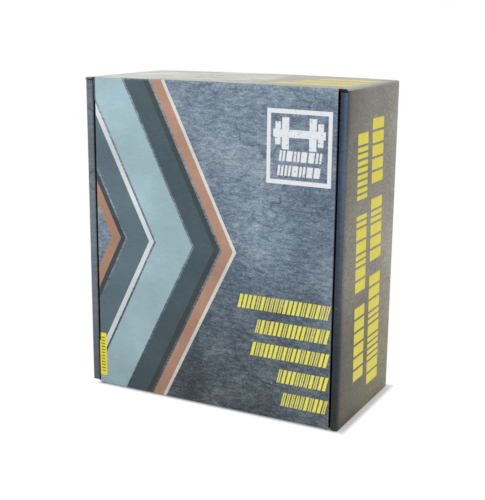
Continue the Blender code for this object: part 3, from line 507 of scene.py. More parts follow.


# %% Rows of bars
# DEEP_YELLOW is the label's ink, and on the side a deeper copy of the yellow, painted to make up
# for the weaker light there.
YELLOW, DEEP_YELLOW = "#fff562", "#fff038"
ROW_TOP, ROW_PITCH, ROW_HEIGHT, ROW_RIGHT = 0.0952, 0.0181, 0.0108, 0.0988
BAR_PITCH, BAR_LEAN, BAR_SOFT, MOST_BARS = 0.0037, 0.24, 0.0002, 32
ROW_BARS = (20, 16, 17, 11, 10)
COLUMN_PITCH, COLUMN_LEAN, COLUMN_MIDDLE = 0.0100, 0.036, 0.125
COLUMNS = ((-0.0282, -0.0080, 0.0280, 19, (6, 13)), (0.0008, 0.0245, 0.0165, 21, (9, 15)))
TOP_RIGHT, TOP_PITCH = 0.0985, 0.0044
TOP_ROWS = ((-0.034, -0.016, 14), (-0.010, 0.008, 12), (0.014, 0.032, 10))


def hatch(f, run, row, count, share=0.68):
    """Bars in a row: bar n fills a share of the stretch from n to n + 1, for n below count.

    A fixed dice throw for each bar splits about two in five of them into a slim pair."""
    number, part = run.whole(), run.fraction()
    bar = part.within(0.5 - share / 2, 0.5 + share / 2, 0.03)
    split = part.within(0.42, 0.58, 0.03) * f.dice(number, row).rises(0.58, 0.60)
    return bar * (1 - split) * number.within(-0.5, count - 0.5, 0.1)


def front_rows(f, x, z):
    """Five rows of leaning bars, flush right, whose left ends step in and out."""
    down, edge, rows = (ROW_TOP - z) / ROW_PITCH, ROW_HEIGHT / ROW_PITCH, len(ROW_BARS)
    row, drop = down.whole(), down.fraction()
    inside = drop.within(0.0, edge, 0.008) * row.within(-0.5, rows - 0.5, 0.1)
    steps = [(n / rows, count / MOST_BARS) for n, count in enumerate(ROW_BARS)]
    count = f.split(f.ramp((row + 0.5) / rows, steps, "CONSTANT"))[0] * MOST_BARS
    lean = (edge - drop) * (ROW_PITCH * BAR_LEAN)
    return inside * hatch(f, (ROW_RIGHT + lean - x) / BAR_PITCH, row, count)


def side_columns(f, y, z):
    """Two upright columns of the same bars, turned a quarter, with gaps like those of words."""
    y, marks = y + (z - COLUMN_MIDDLE) * COLUMN_LEAN, []
    for row, (near, far, foot, count, gaps) in enumerate(COLUMNS):
        run = (z - foot) / COLUMN_PITCH
        first, second = (run.within(gap, gap + 1, 0.02) for gap in gaps)
        bars = hatch(f, run, row + 5, count, 0.82) * (1 - (first + second))
        marks.append(bars * y.within(near, far, BAR_SOFT))
    return marks[0] + marks[1]


def top_rows(f, x, y):
    """Three rows of bars on the top face, near its right end."""
    marks = 0
    for row, (near, far, count) in enumerate(TOP_ROWS):
        run = (TOP_RIGHT - x + (y - near) * BAR_LEAN) / TOP_PITCH
        marks = hatch(f, run, row + 7, count, 0.8) * y.within(near, far, BAR_SOFT) + marks
    return marks


# %% Stamp and stripes
STAMP_X, STAMP_Z, STAMP_HALF_X, STAMP_HALF_Z = 0.0730, 0.2073, 0.0251, 0.0266
DISCS = ((0.31, 0.53, 0.42), (0.57, 0.74, 0.30))
STRIPE_LEFT, STRIPE_SPAN, STRIPE_MIDDLE = -0.094, 0.125, 0.126
STRIPES = (
    (0.00, None), (0.05, "#b48a70"), (0.12, "#3a443f"), (0.155, None), (0.17, "#5f7580"),
    (0.33, "#e3eaec"), (0.365, None), (0.38, "#abc8d0"), (0.64, None), (0.655, "#465860"),
    (0.79, "#39423e"), (0.83, None), (0.845, "#bd937a"), (0.92, "#e8e6e0"), (0.945, None),
)


def stamp(f, at, x, z):
    """A worn upright frame round a generic gym sign: a dumbbell over two rows of bars."""
    u, w = (x - STAMP_X) / STAMP_HALF_X, (z - STAMP_Z) / STAMP_HALF_Z
    reach = u.size().most(w.size())
    frame_line = reach.within(0.88, 1.0, 0.008)
    out, rise = u.size(), (w - 0.36).size()
    sign = out.falls(0.80, 0.81) * rise.falls(0.10, 0.11)
    for near, far, half in DISCS:
        sign = sign.most(out.within(near, far, 0.008) * rise.falls(half, half + 0.012))
    under = w.within(-0.38, -0.10, 0.008) + w.within(-0.77, -0.49, 0.008)
    run = (0.66 - u + (w + 0.8) * 0.12) / 0.225
    sign = sign.most(under * hatch(f, run, w.rises(-0.44, -0.42) + 3, 6, 0.80))
    worn = f.noise(at, 420, 3, 0.7).falls(0.58, 0.68) * 0.85 + 0.15
    return sign.most(frame_line) * worn.most(frame_line * 0.9) * reach.falls(1.0, 1.02)


def bent_stripes(f, x, z):
    """Stripes that point to the right: their colour depends on x + 0.5 |z - middle|."""
    run = (x + (z - STRIPE_MIDDLE).size() * 0.5 - STRIPE_LEFT) / STRIPE_SPAN
    colour = f.ramp(run, [(where, code or "#6b7c88") for where, code in STRIPES], "CONSTANT")
    shown = f.ramp(run, [(where, float(code is not None)) for where, code in STRIPES], "CONSTANT")
    return colour, f.split(shown)[0] * run.within(0.0, 1.0, 0.002)


# %% Printed faces
NAVY = tuple(zip((0.05, 0.25, 0.50, 0.75, 0.95), "#1a2524 #1a2731 #33444f #3a4b67 #283e5a".split()))


def side_stone(f, x, y, z, tone):
    """The side: warm stone, olive at its foot, with painted shade: darker at its front fold,
    lighter to its rear.
    """
    olive = stone_ramp(f, tone, "#4f4b34", "#5f5a41", "#6b664a", "#767156", "#89846b")
    warm = stone_ramp(f, tone, "#6c695e", "#807c70", "#8a8679", "#959184", "#a8a497")
    deep, low, high = (y + 0.054) / 0.108, z.falls(0.05, 0.13), z.rises(0.16, 0.25)
    # Painted shade and light: a dark band beside the front fold, darker low and high at the front,
    # lighter towards the rear, milder on the left side.
    shade = deep * 0.36 + 0.90 - y.falls(-0.0515, -0.0475) * 0.28
    painted_shading = low * (deep * 0.58 - 0.46 + deep.rises(0.45, 1.0) * 0.30)
    painted_shading = painted_shading - high * (deep.falls(0.0, 0.5) * 0.38 + 0.13)
    shade = shade + painted_shading * (x.rises(0, 0.001) * 0.6 + 0.4)
    shade = shade + deep.rises(0.6, 1.0) * z.falls(0.15, 0.19) * 0.11
    return f.tinted(f.blend(z.rises(0.03, 0.13), olive, warm), shade)


def top_stone(f, x, y, z, tone):
    """The top: pale stone with long slanting streaks, browner towards its right end."""
    pale = stone_ramp(f, tone, "#96968a", "#b5b5a8", "#c4c4b8", "#d0d0c6", "#dedfd6")
    streaks = f.join(x * 0.40 + y * 0.14, y * 2.6 - x * 0.9, z)
    streak = f.noise(streaks, 40, 3, 0.6).rises(0.42, 0.58)
    streak = streak * (x * 0.9 - y * 1.6).falls(0.025, 0.065)
    hair = (f.noise(streaks, 34) - 0.5).size().falls(0.010, 0.030)
    rim = (x.falls(-0.1085, -0.1068) * 0.4).most(y.rises(0.0522, 0.0540) * 0.3)
    right_end = (x + y * 0.16).rises(0.019, 0.033) * 0.7, "#9f9c84"
    rear_corner = (x + y * 0.35).rises(0.105, 0.125) * 0.7, "#8a877a"
    coats = (streak * 0.8, "#efefe8"), (hair * 0.70, "#8f9084"), right_end, rear_corner
    return f.layers(pale, *coats, (rim, "#8b8b80"))


def front_stone(f, x, z, tone):
    """The front: blue stone, greyer and darker at its foot, with a pale cloud in its middle."""
    blue = stone_ramp(f, tone, "#4b5968", "#667687", "#7a8c9e", "#8c9cab", "#b0bbc4")
    grey = stone_ramp(f, tone, "#262d32", "#3a444b", "#4c565e", "#5e6971", "#818b91")
    haze = ((x - 0.045) * (x - 0.045) + (z - 0.145) * (z - 0.145)).root().falls(0.01, 0.055)
    stone = f.blend(z.rises(0.015, 0.16), grey, blue)
    return f.tinted(stone, z.rises(0.17, 0.25) * 0.16 + haze * 0.16 + 1)


def edge_strips(f, base, x, z, tone, front):
    """The walls' narrow strips beside the lid: worn grey at the left, navy at the right."""
    worn = f.tinted("#6f797f", tone * 2.0 - z.falls(0.0, 0.06) * 0.3 - z.rises(0.16, 0.25) * 0.2)
    base = f.blend(x.falls(-0.1032, -0.1028) * front * 0.8, base, worn)
    spread = z.rises(0.05, 0.22)
    navy = f.blend(x.rises(0.1050, 0.1078) * spread * 0.3, f.ramp(z / TOP, NAVY), "#5d666e")
    lit = tone * 3.0 - 0.25 - x.falls(0.1027, 0.1077) * 0.8
    lit = lit + spread * (x.rises(0.1030, 0.1078) * 0.55 - 0.2)
    return f.blend(x.rises(0.1020, 0.1024) * front * 0.95, base, f.tinted(navy, lit))


def printed_side(f, at):
    """The printed colour of the whole carton, face by face, with painted shade in the gaps beside
    the lid.
    """
    x, y, z = f.split(at)
    tone, crack, chips = concrete(f, at, x, y, z)
    front = y.falls(-0.0531, -0.0529)
    side = x.size().rises(0.1071, 0.1075) * y.rises(-0.0535, -0.0531)
    top = z.rises(0.2486, 0.2490) * y.rises(-0.0531, -0.0527)
    on_lid = front * x.size().falls(0.1018, 0.1022)
    upper, around_it = top_stone(f, x, y, z, tone), side_stone(f, x, y, z, tone)
    base = f.layers(front_stone(f, x, z, tone), (side, around_it), (top, upper))
    base = edge_strips(f, base, x, z, tone, front)

    stripe_colour, stripe_mask = bent_stripes(f, x, z)
    soft_light = f.noise(at, 24) * 0.6 + tone * 0.7 + z.rises(0.0, 0.25) * 0.16 + 0.27
    stripes = stripe_mask * on_lid * 0.94, f.tinted(stripe_colour, soft_light)
    ink = front_rows(f, x, z) * on_lid
    ink = ink.most(side_columns(f, y, z) * side * x.rises(0, 0.001))
    label = x.within(-0.1030, -0.0951, 0.0001) * z.within(0.0080, 0.0440, 0.0001) * on_lid
    yellow = f.tinted(f.blend(side.most(label), YELLOW, DEEP_YELLOW), tone * 0.7 + 0.62)
    marks = label * x.within(-0.1002, -0.0966, 0.0001) * z.within(0.011, 0.0405, 0.0001)
    marks = marks * (z / 0.0026).fraction().within(0.15, 0.62, 0.04)
    # Painted shade in the gaps beside the lid: near black on the strips' inner sides, and beside is
    # a dark band at the lid's left edge, widening upwards, painted as the slit's shadow.
    slit_shade = x.size().within(0.1012, 0.1032, 0.0002)
    slit_shade = slit_shade * y.rises(-0.0536, -0.0528) * y.falls(-0.050, -0.046)
    beside = (x + 0.1015 - z.rises(0.09, 0.25) * 0.0013).falls(-0.0002, 0.0002)
    beside = beside * x.rises(-0.1024, -0.1018) * front
    return f.layers(
        base, (crack * 0.45 * front, "#343e47"), (chips * 0.5 * front, "#b9bec0"), stripes,
        (ink.most(label), yellow), (marks * 0.8, "#75681a"), (top_rows(f, x, y) * top, "#ecd648"),
        (stamp(f, at, x, z) * on_lid, "#f8fbff"), (slit_shade.most(beside) * 0.9, "#080e1a"),
    )


# %% Paper and cut edges
FLUTE_PITCH = 0.0034


def kraft_side(f, at):
    """Brown kraft paper: long pale and dark fibres on a mottled ground."""
    fibre = f.noise(f.stretched(at, (1, 1, 0.12)), 1500, 2, 0.6)
    fleck = f.noise(f.stretched(at, (0.3, 1, 1)), 2400, 1).rises(0.66, 0.76)
    share = f.noise(at, 60, 4, 0.6) * 0.6 + fibre * 0.4
    brown = f.ramp(share, [(0.3, "#9a7550"), (0.5, "#b38d64"), (0.7, "#c6a27a")])
    return f.blend(fleck * 0.35, brown, "#6d4f31"), fibre


def cut_edge(depth, ripple):
    """Two liners with a wave of paper between them: 1 on paper, 0 in the hollows."""
    medium = (depth - (ripple * 0.31 + 0.5)).size().falls(0.09, 0.13)
    return medium.most((depth - 0.5).size().rises(0.36, 0.39))


def board_finish(name, view, printed):
    """Board with print or bare kraft outside, kraft inside and flutes at its cut edges, whose
    hollows are painted as shade.
    """
    f = Finish(name, view, Specular_IOR_Level=0.25)
    at = f.attribute("place", "Vector")
    depth, edge, flute = (f.attribute(key) for key in ("depth", "edge", "flute"))
    kraft, fibre = kraft_side(f, at)
    x, y, z = f.split(at)
    ripple = (flute * (2 * math.pi / FLUTE_PITCH)).sine()
    rim = depth.rises(0.01, 0.03) * depth.falls(0.97, 0.99)
    paper = cut_edge(depth, ripple)
    near = y.falls(-0.050, -0.049)
    # Painted shade: the cut edges inside the gaps between the lid and the wall strips are painted
    # near black.
    gap_shade = near * x.size().rises(0.1006, 0.1010) * x.rises(-0.1032, -0.1028)
    # The left strip's cut head is painted a paler grey-brown.
    grey_head = near * x.falls(-0.1032, -0.1028) * z.rises(0.24, 0.242)
    lit_paper = f.tinted("#b58e66", fibre * 0.6 + 0.7)
    dark = (gap_shade * 0.9, "#0c0d0f"), (grey_head * 0.75, "#8a847a")
    # Painted shade: the hollows between the flutes are dark brown, and the paper between them is
    # paler.
    cut = f.layers("#3a2a1b", (paper, lit_paper), *dark)
    if printed:
        scuff = f.noise(at, 900, 3, 0.7) - edge * 260
        bare = scuff.rises(0.46, 0.56) * edge.falls(0.0004, 0.0018)
        kept = x.size().rises(0.1018, 0.1022) * y.falls(-0.050, -0.046) * 0.75
        # Painted highlight: the first term is a thin paler line along every fold and cut edge,
        # where a rounded fold catches light; bare is real scuffing of the print.
        worn = (edge.falls(0.0, 0.0014) * 0.12 + bare * 0.5) * (1 - kept)
        outside = f.blend(worn, printed_side(f, at), "#b7c0c8")
        gloss = f.noise(at, 70, 3, 0.6) * 0.16 + 0.30
        roughness = bare.most(depth.rises(0.01, 0.03)) * 0.5 + gloss
    else:
        outside, roughness = kraft, fibre * 0.2 + 0.75
    colour = f.blend(rim, f.blend(depth.rises(0.5, 0.98), outside, kraft), cut)
    skin = f.noise(at, 1300, 2, 0.6) * (0.035 if printed else 0.09)
    height = (ripple * 0.5 + 0.5) * 0.05 + skin
    return f.done(colour, roughness, height * (1 - rim) + paper * rim, 0.0006, 0.6)


PRINTED = board_finish("printed_board_finish", "#6b7c88", True)
KRAFT = board_finish("kraft_board_finish", "#b38d64", False)
print("carton finishes", PRINTED.name, len(PRINTED.node_tree.nodes), "nodes;", KRAFT.name)

# %% [markdown]
# ## The lid
# The lid is the front of the box. Its top edge is a crease, its foot and sides carry flaps, and
# its two lower corners are cut off. A panel of corrugated board is never quite flat, so it
# swells by half a millimetre. The creases are pieces of their own, so the lid's grid leaves
# them out.

# %% Lid panel
LID_HALF, LID_CUT, FOOT, SWELL = 0.1015, 0.0017, 0.0004, 0.0005
LID_CREASE_Z, FLAP_CREASE_X = 0.246, 0.098
FLAP_FOOT, FLAP_TOP = 0.0375, 0.232
TUCK_HALF, TUCK_CREASE_Z = 0.0985, 0.004


def swell(across, half, up, low, high):
    """A shallow dome: (1 - (across / half) squared) times the sine of the way up."""
    rise = np.clip((up - low) / (high - low), 0, 1)
    return SWELL * np.clip(1 - (across / half) ** 2, 0, None) * np.sin(np.pi * rise)


def grid(u, v):
    """Every pair of two lists of numbers, as two arrays."""
    return np.meshgrid(u, v, indexing="ij")


lid_u = lines(-LID_HALF, -FLAP_CREASE_X, FLAP_CREASE_X, LID_HALF)
lid_u = np.unique(np.concatenate([lid_u, [-TUCK_HALF, TUCK_HALF]]).round(6))
lid_v = lines(FOOT, TUCK_CREASE_Z, FLAP_FOOT, FLAP_TOP, LID_CREASE_Z)
U, V = grid(lid_u, lid_v)
bow = swell(U, FLAP_CREASE_X, V, TUCK_CREASE_Z, LID_CREASE_Z)
for corner_x in (-LID_HALF, LID_HALF):
    U, V = cut_corner(U, V, corner_x, FOOT, LID_CUT)
out_u, middle_v = np.abs(mids(lid_u)), mids(lid_v)
tuck_gap = np.logical_and.outer(out_u < TUCK_HALF, middle_v < TUCK_CREASE_Z)
flap_gap = np.logical_and.outer(out_u > FLAP_CREASE_X, spans(middle_v, [(FLAP_FOOT, FLAP_TOP)]))
lid_panel = board(
    "lid_panel_board", lid_u, lid_v, np.stack([U, FRONT - bow, V], -1), PRINTED,
    (-LID_HALF, LID_HALF), (FOOT,), keep=~(tuck_gap | flap_gap),
)
settle(lid_panel, "lid", "printed_board", "lid_panel")
print("lid panel", len(lid_panel.data.polygons), "faces")

# %% [markdown]
# ## The creases
# A crease is a strip of board that follows a line round a small radius. Each one stays where it
# is built, attached to no body.


# %% Creases
def crease(name, u, corners, height=None):
    """A strip of board along a rounded line, built in place and attached to no body.

    The line runs in Y and Z for a crease along X, and in X and Y for one along Z, where the
    height function gives Z from Y and the place along the crease."""
    line, length = track(corners)
    fold, ends = length[len(length) // 2 :][:1], u[[0, -1]]
    if height is None:
        U, _ = grid(u, length)
        points = np.stack([U, 0 * U + line[:, 0], 0 * U + line[:, 1]], -1)
        made = board(name, u, length, points, PRINTED, ends, fold)
    else:
        _, V = grid(length, u)
        X, Y = 0 * V + line[:, :1], 0 * V + line[:, 1:]
        made = board(name, length, u, np.stack([X, Y, height(Y, V)], -1), PRINTED, fold, ends)
    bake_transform(made)
    return settle(made, None, "printed_board")


crease(
    "lid_top_crease", lines(-LID_HALF, LID_HALF),
    [(FRONT, LID_CREASE_Z), (FRONT, TOP), (-0.050, TOP)],
)

# %% [markdown]
# ## The tuck flap and the two side flaps
# The tuck flap folds in at the lid's foot and slides over the bottom wall, so it leans up a
# little. The side flaps fold in along the lid's sides, between the trainer and the side walls,
# and taper so that they find their way in.

# %% Tuck flap
TUCK_LEAN, TUCK_CUT = math.radians(5), 0.008
TUCK_DEPTH, TUCK_START = 0.032, 0.007
TUCK_AXIS = np.array([-0.0524, 0.0035])


def tuck_under(depth):
    """The flap's printed underside: one board below its hinge line, leaning by 5 degrees."""
    reach = np.array([math.cos(TUCK_LEAN), math.sin(TUCK_LEAN)])
    below = np.array([math.sin(TUCK_LEAN), -math.cos(TUCK_LEAN)]) * BOARD
    return TUCK_AXIS + below + np.asarray(depth)[..., None] * reach


tuck_u, tuck_v = lines(-TUCK_HALF, TUCK_HALF), lines(-TUCK_DEPTH, -TUCK_START)
U, V = grid(tuck_u, tuck_v)
for corner_x in (-TUCK_HALF, TUCK_HALF):
    U, V = cut_corner(U, V, corner_x, -TUCK_DEPTH, TUCK_CUT)
points = np.concatenate([U[..., None], tuck_under(-V)], -1)
tuck_flap = board(
    "lid_tuck_flap_board", tuck_u, tuck_v, points, PRINTED, (-TUCK_HALF, TUCK_HALF), (-TUCK_DEPTH,)
)
settle(tuck_flap, "tuck_flap", "kraft_board", "lid_tuck_flap")
crease(
    "lid_tuck_crease", tuck_u,
    [tuck_under(TUCK_START), (-0.0505, 0.0007), (FRONT, 0.0002), (FRONT, TUCK_CREASE_Z)],
)

# %% Side flaps
FLAP_ROOT, FLAP_START, FLAP_TIP = -0.0524, -0.049, -0.0204
FLAP_TAPER, FLAP_ROUND = 0.012, 0.004
TIP_SHARE = 1 - FLAP_TAPER * 2 / (FLAP_TOP - FLAP_FOOT)
FLAP_MIDDLE = (FLAP_TOP + FLAP_FOOT) / 2
FLAP_BEND = ((FLAP_CREASE_X, FRONT), (LID_HALF, FRONT), (LID_HALF, FLAP_START))


def flap_height(y, v):
    """The flap narrows from its root to its tip: its height scales with its depth."""
    share = np.clip((y - FLAP_ROOT) / (FLAP_TIP - FLAP_ROOT), 0, 1)
    return FLAP_MIDDLE + (v - FLAP_MIDDLE) * (1 + (TIP_SHARE - 1) * share)


flap_v = lines(FLAP_FOOT, FLAP_TOP)
for side, word in SIDES:
    tip = side * FLAP_TIP
    flap_u = lines(*sorted((side * FLAP_START, tip)))
    U, V = grid(flap_u, flap_v)
    for corner_z in (FLAP_FOOT, FLAP_TOP):
        U, V = cut_corner(U, V, tip, corner_z, FLAP_ROUND, round_off=True)
    Y = side * U
    points = np.stack([np.full_like(U, side * LID_HALF), Y, flap_height(Y, V)], -1)
    ends = (FLAP_FOOT, FLAP_TOP)
    flap = board(f"lid_{word}_flap_board", flap_u, flap_v, points, PRINTED, (tip,), ends)
    settle(flap, f"{word}_dust_flap", "kraft_board", f"lid_{word}_flap")
    bend = [(side * x, y) for x, y in FLAP_BEND]
    crease(
        f"lid_{word}_crease", flap_v, bend[::side],
        flap_height,
    )

# %% [markdown]
# ## The rolled side walls
# Each side wall is folded over on itself: an outer panel, a narrow strip beside the lid and an
# inner panel whose tabs lock in slots of the rear panel. One line, seen from above, gives the
# whole wall: it runs round its rounded corners and is carried straight up.

# %% Side walls
INNER_X, WRAP_X, REAR_INNER = 0.1027, 0.105, 0.0524
TAB_ENDS = [(0.045, 0.075), (0.175, 0.205)]
TAB_MARKS = np.ravel(TAB_ENDS) / TOP
TAB_LENGTH = REAR - REAR_INNER + 0.0003
INNER_FOOT, INNER_HEAD, OUTER_HEAD = 0.0020, 0.2476, 0.24835
LEFT_SLACK, BOWED_HALF, BOW_SHARE = 0.0008, 0.052, 0.8

for side, word, foot, slack in ((-1, "left", 0.0028, LEFT_SLACK), (1, "right", 0.0006, 0)):
    out = HALF_WIDTH + slack
    bends = [(INNER_X, REAR), (INNER_X, FRONT), (out, FRONT), (out, REAR), (WRAP_X, REAR)]
    section, length = track(bends)
    if side < 0:
        section, length = section[::-1] * (-1, 1), length[-1] - length[::-1]
    total = length[-1]
    tab_mark = total - TAB_LENGTH if side < 0 else TAB_LENGTH
    steps = ((a, b, max(2, round((b - a) / 0.008) + 1)) for a, b in zip(length, length[1:]))
    stretches = [np.linspace(*step) for step in steps]
    wall_u = np.unique(np.concatenate([*stretches, [tab_mark]]).round(6))
    wall_v = np.unique(np.append(lines(0, 1, step=0.03, near=(0.0016, 0.005, 0.012)), TAB_MARKS))
    run = total - wall_u if side < 0 else wall_u
    _, V = grid(wall_u, wall_v)
    flat = along_track(section, length, wall_u)
    X, Y = flat[:, :1] + 0 * V, flat[:, 1:] + 0 * V
    low = np.interp(run, [0.1045, 0.1085], [INNER_FOOT, foot])[:, None]
    high = np.interp(run - slack, [0.1128, 0.1150], [INNER_HEAD, OUTER_HEAD])[:, None]
    at_tab = np.logical_and.outer(run <= 0.09, np.isin(wall_v.round(6), TAB_MARKS.round(6)))
    tall = np.where(at_tab, V * TOP, low + (high - low) * V)
    outside = (np.abs(X) > HALF_WIDTH - 1e-5) & (np.abs(Y) < BOWED_HALF)
    bow = np.where(outside, swell(Y, BOWED_HALF, tall, foot, TOP), 0) * BOW_SHARE
    beside_tabs = np.logical_and.outer(mids(run) < TAB_LENGTH, ~spans(mids(wall_v) * TOP, TAB_ENDS))
    wall = board(
        f"{word}_side_wall_board", wall_u, wall_v, np.stack([X + side * bow, Y, tall], -1), PRINTED,
        length[[4, 11, 18]], (0, 1), keep=~beside_tabs,
    )
    settle(wall, "carton", "printed_board", f"{word}_side_wall")
    print(word, "side wall", len(wall.data.polygons), "faces, section", round(total, 4), "m")

# %% [markdown]
# ## Top wall, rear panel and bottom wall
# The three are one run of board with a fold at each rear edge. At their two ends the top wall's
# edge turns down over the side walls. Where that turn meets the rear fold, the corner is part of
# a ball: the outward direction is (sin a, cos a sin b, cos a cos b), with a the turn over the
# side and b the turn over the rear.

# %% Top wall
BALL = CREASE_RADIUS
TURN = np.radians(np.linspace(0, 88, 7))
EAR_X, TOP_LIP = 0.1017, 0.050


def end_turns(marks=()):
    """Grid lines across a panel whose ends turn down: centre places, and turns in radians."""
    inner = HALF_WIDTH - BALL
    flat = lines(-inner - LEFT_SLACK, *marks, inner)
    centres = np.concatenate([np.full(6, flat[0]), flat, np.full(6, inner)])
    turns = np.concatenate([-TURN[:0:-1], np.zeros(len(flat)), TURN[1:]])
    return centres, turns[:, None], centres + turns * BALL


centres, T, top_u = end_turns((-EAR_X, EAR_X))
top_v = lines(FRONT, -TOP_LIP, TOP_LIP)
C, Y = grid(centres, top_v)
sag = swell(C, 0.1, Y, -TOP_LIP, TOP_LIP)
points = np.stack([C + BALL * np.sin(T), Y, TOP - BALL + BALL * np.cos(T) - sag], -1)
notch = np.logical_and.outer(np.abs(mids(top_u)) < EAR_X, mids(top_v) < -TOP_LIP)
folds = (top_u[0], top_u[-1], 0.0008 - HALF_WIDTH, HALF_WIDTH - 0.0008)
top_wall = board("top_wall_board", top_u, top_v, points, PRINTED, folds, (FRONT,), ~notch, C)
settle(top_wall, "carton", "printed_board", "top_wall")

# %% Rear panel and bottom wall
SLOT_X, PANEL_DROP, SLOT_SLACK = (0.1024, 0.1046), 0.2466, 0.0003
centres, T, rear_u = end_turns(sorted(side * x for side in (-1, 1) for x in (*SLOT_X, WRAP_X)))
slots = [(low - SLOT_SLACK, high + SLOT_SLACK) for low, high in TAB_ENDS]
head = TOP - BALL
drop = np.unique(np.concatenate([lines(0.0, PANEL_DROP), head - np.ravel(slots)]).round(6))
quarter, straight = np.radians(np.linspace(0, 90, 7)), len(drop) - 1
row_y = np.array([TOP_LIP] + [REAR - BALL] * (straight + 13) + [TOP_LIP])
row_z = head - np.concatenate([np.zeros(8), drop[1:], np.full(7, drop[-1])])
back_turn = [[0.0], quarter, np.full(straight, np.pi / 2), np.pi / 2 + quarter[1:], [np.pi]]
row_b = np.concatenate(back_turn)
run_z = row_z + BALL * np.cos(row_b)
rear_v = run_of(np.stack([row_y + BALL * np.sin(row_b), run_z], -1))
C, B = grid(centres, row_b)
across, along = C + BALL * np.sin(T), BALL * np.cos(T)
points = np.stack([across, row_y + along * np.sin(B), row_z + along * np.cos(B)], -1)
out_x, middle_z = np.abs(mids(rear_u)), mids(run_z)
left_out = np.logical_and.outer(out_x > WRAP_X, middle_z < head - 0.0001)
left_out |= np.logical_and.outer(spans(out_x, [SLOT_X]), spans(middle_z, slots))
folds = [rear_v[4], rear_v[-4]]
rear = board("base_panel_board", rear_u, rear_v, points, PRINTED, (), folds, ~left_out, C)
settle(rear, "carton", "printed_board", "base_panel")

bottom_u, bottom_v = lines(-0.1066, 0.1066), lines(-TOP_LIP, 0.0490)
U, V = grid(bottom_u, bottom_v)
points = np.stack([U, -V, np.zeros_like(U)], -1)
ends = bottom_u[[0, -1]]
bottom = board("bottom_wall_board", bottom_u, bottom_v, points, PRINTED, ends, bottom_v[-1:])
settle(bottom, "carton", "printed_board", "bottom_wall")
print("rear panel", len(rear.data.polygons), "faces; bottom wall", len(bottom.data.polygons))

# %% [markdown]
# ## Closed forms
# The trainer's parts are rods, rings, plates and straps. Each is a closed grid: a section carried
# along a path, or a profile turned round an axis. The grid's ends are joined or capped, and its
# faces are turned outwards by the sign of its volume, which is a sum over its faces.


# %% Forms
def form(grid, loop=False):
    """Points and faces of a grid that closes round v, with its ends joined or capped.

    A face's share of the volume is the triple product of its corners over 6. Where the sum is
    negative, the faces are turned round."""
    rows, columns = grid.shape[:2]
    index = np.arange(rows * columns).reshape(rows, columns)
    index = np.concatenate([index, index[:, :1]], axis=1)
    if loop:
        index = np.concatenate([index, index[:1]])
    quads = np.stack([index[:-1, :-1], index[1:, :-1], index[1:, 1:], index[:-1, 1:]], -1)
    quads = quads.reshape(-1, 4)
    points = grid.reshape(-1, 3)
    a, b, c, d = (points[quads[:, n]] - points.mean(0) for n in range(4))
    volume = (a * np.cross(b, c)).sum() + (a * np.cross(c, d)).sum()
    faces = [quads]
    if not loop:
        faces += [np.arange(columns)[None], np.arange(columns)[None, ::-1] + (rows - 1) * columns]
    return points, [f[:, ::-1] for f in faces] if volume < 0 else faces


def make(name, forms, material, body, slot, *nodes):
    """One piece from one or more closed forms, settled on its body."""
    points, faces, count = [], [], 0
    for some, rows in forms:
        faces += [f + count for f in rows]
        points.append(some)
        count += len(some)
    return settle(new_piece(name, np.concatenate(points), faces, material), body, slot, *nodes)


def circle(radius, count=20):
    """Points of a round section: radius times (cos, sin)."""
    angles = np.arange(count) * 2 * np.pi / count
    return radius * np.stack([np.cos(angles), np.sin(angles)], -1)


def rounded(half_a, half_b, corner, steps=3):
    """A rectangle's section with round corners, anticlockwise."""
    angles = np.linspace(0, np.pi / 2, steps + 1)
    quarter = np.stack([np.cos(angles), np.sin(angles)], -1) * corner
    found = []
    for n, (a, b) in enumerate(((1, 1), (-1, 1), (-1, -1), (1, -1))):
        turn = n * np.pi / 2
        spin = np.array([[math.cos(turn), math.sin(turn)], [-math.sin(turn), math.cos(turn)]])
        found.append(quarter @ spin + (a * (half_a - corner), b * (half_b - corner)))
    return np.concatenate(found)


def carry(path, section, across, loop=False, scale=1):
    """A section carried along a path.

    At each point the heading is the change of place. The section's first axis is across x
    heading, and its second axis is heading x first, so that across stays the second axis."""
    change = np.roll(path, -1, 0) - np.roll(path, 1, 0) if loop else np.gradient(path, axis=0)
    heading = unit(change)
    first = unit(np.cross(np.array(across, float), heading))
    second = np.cross(heading, first)
    flat = section[None] * (np.ones(len(path)) * scale)[:, None, None]
    return path[:, None] + flat[..., :1] * first[:, None] + flat[..., 1:] * second[:, None]


def rod(path, radius, across, loop=False, count=20):
    """A round rod along a path, whose ends are a little slimmer unless it is a loop."""
    size = np.ones(len(path))
    if not loop:
        size[[0, -1]] = 0.8
    return form(carry(path, circle(radius, count), across, loop, size), loop)


def turned(profile, origin, axis="z", count=64, loop=True):
    """A profile of (radius, height) turned round an axis: (r cos a, r sin a, height)."""
    profile = np.array(profile, float)
    angles = np.arange(count) * 2 * np.pi / count
    r, h = profile[:, :1], profile[:, 1:]
    grid = np.stack([r * np.cos(angles), r * np.sin(angles), h + 0 * angles], -1)
    if axis == "y":
        grid = grid[..., [0, 2, 1]]
    return form(grid + np.array(origin, float), loop)


# %% Lines
def spaced(line, step):
    """A line with points added so that no stretch is longer than step."""
    parts = []
    for a, b in zip(line[:-1], line[1:]):
        count = max(1, math.ceil(np.linalg.norm(b - a) / step))
        parts.append(a + (b - a) * np.arange(count)[:, None] / count)
    return np.concatenate([*parts, line[-1:]])


def around(line, step=0.004):
    """A closed line from its start back to its start, with extra points on its straights."""
    return spaced(np.concatenate([line, line[:1]]), step)


def sweep_arc(centre, radius, start, end, step=math.radians(6)):
    """Points on a circle from one angle to another."""
    angles = np.linspace(start, end, max(2, math.ceil(abs(end - start) / step)) + 1)
    return np.array(centre) + radius * np.stack([np.cos(angles), np.sin(angles)], -1)


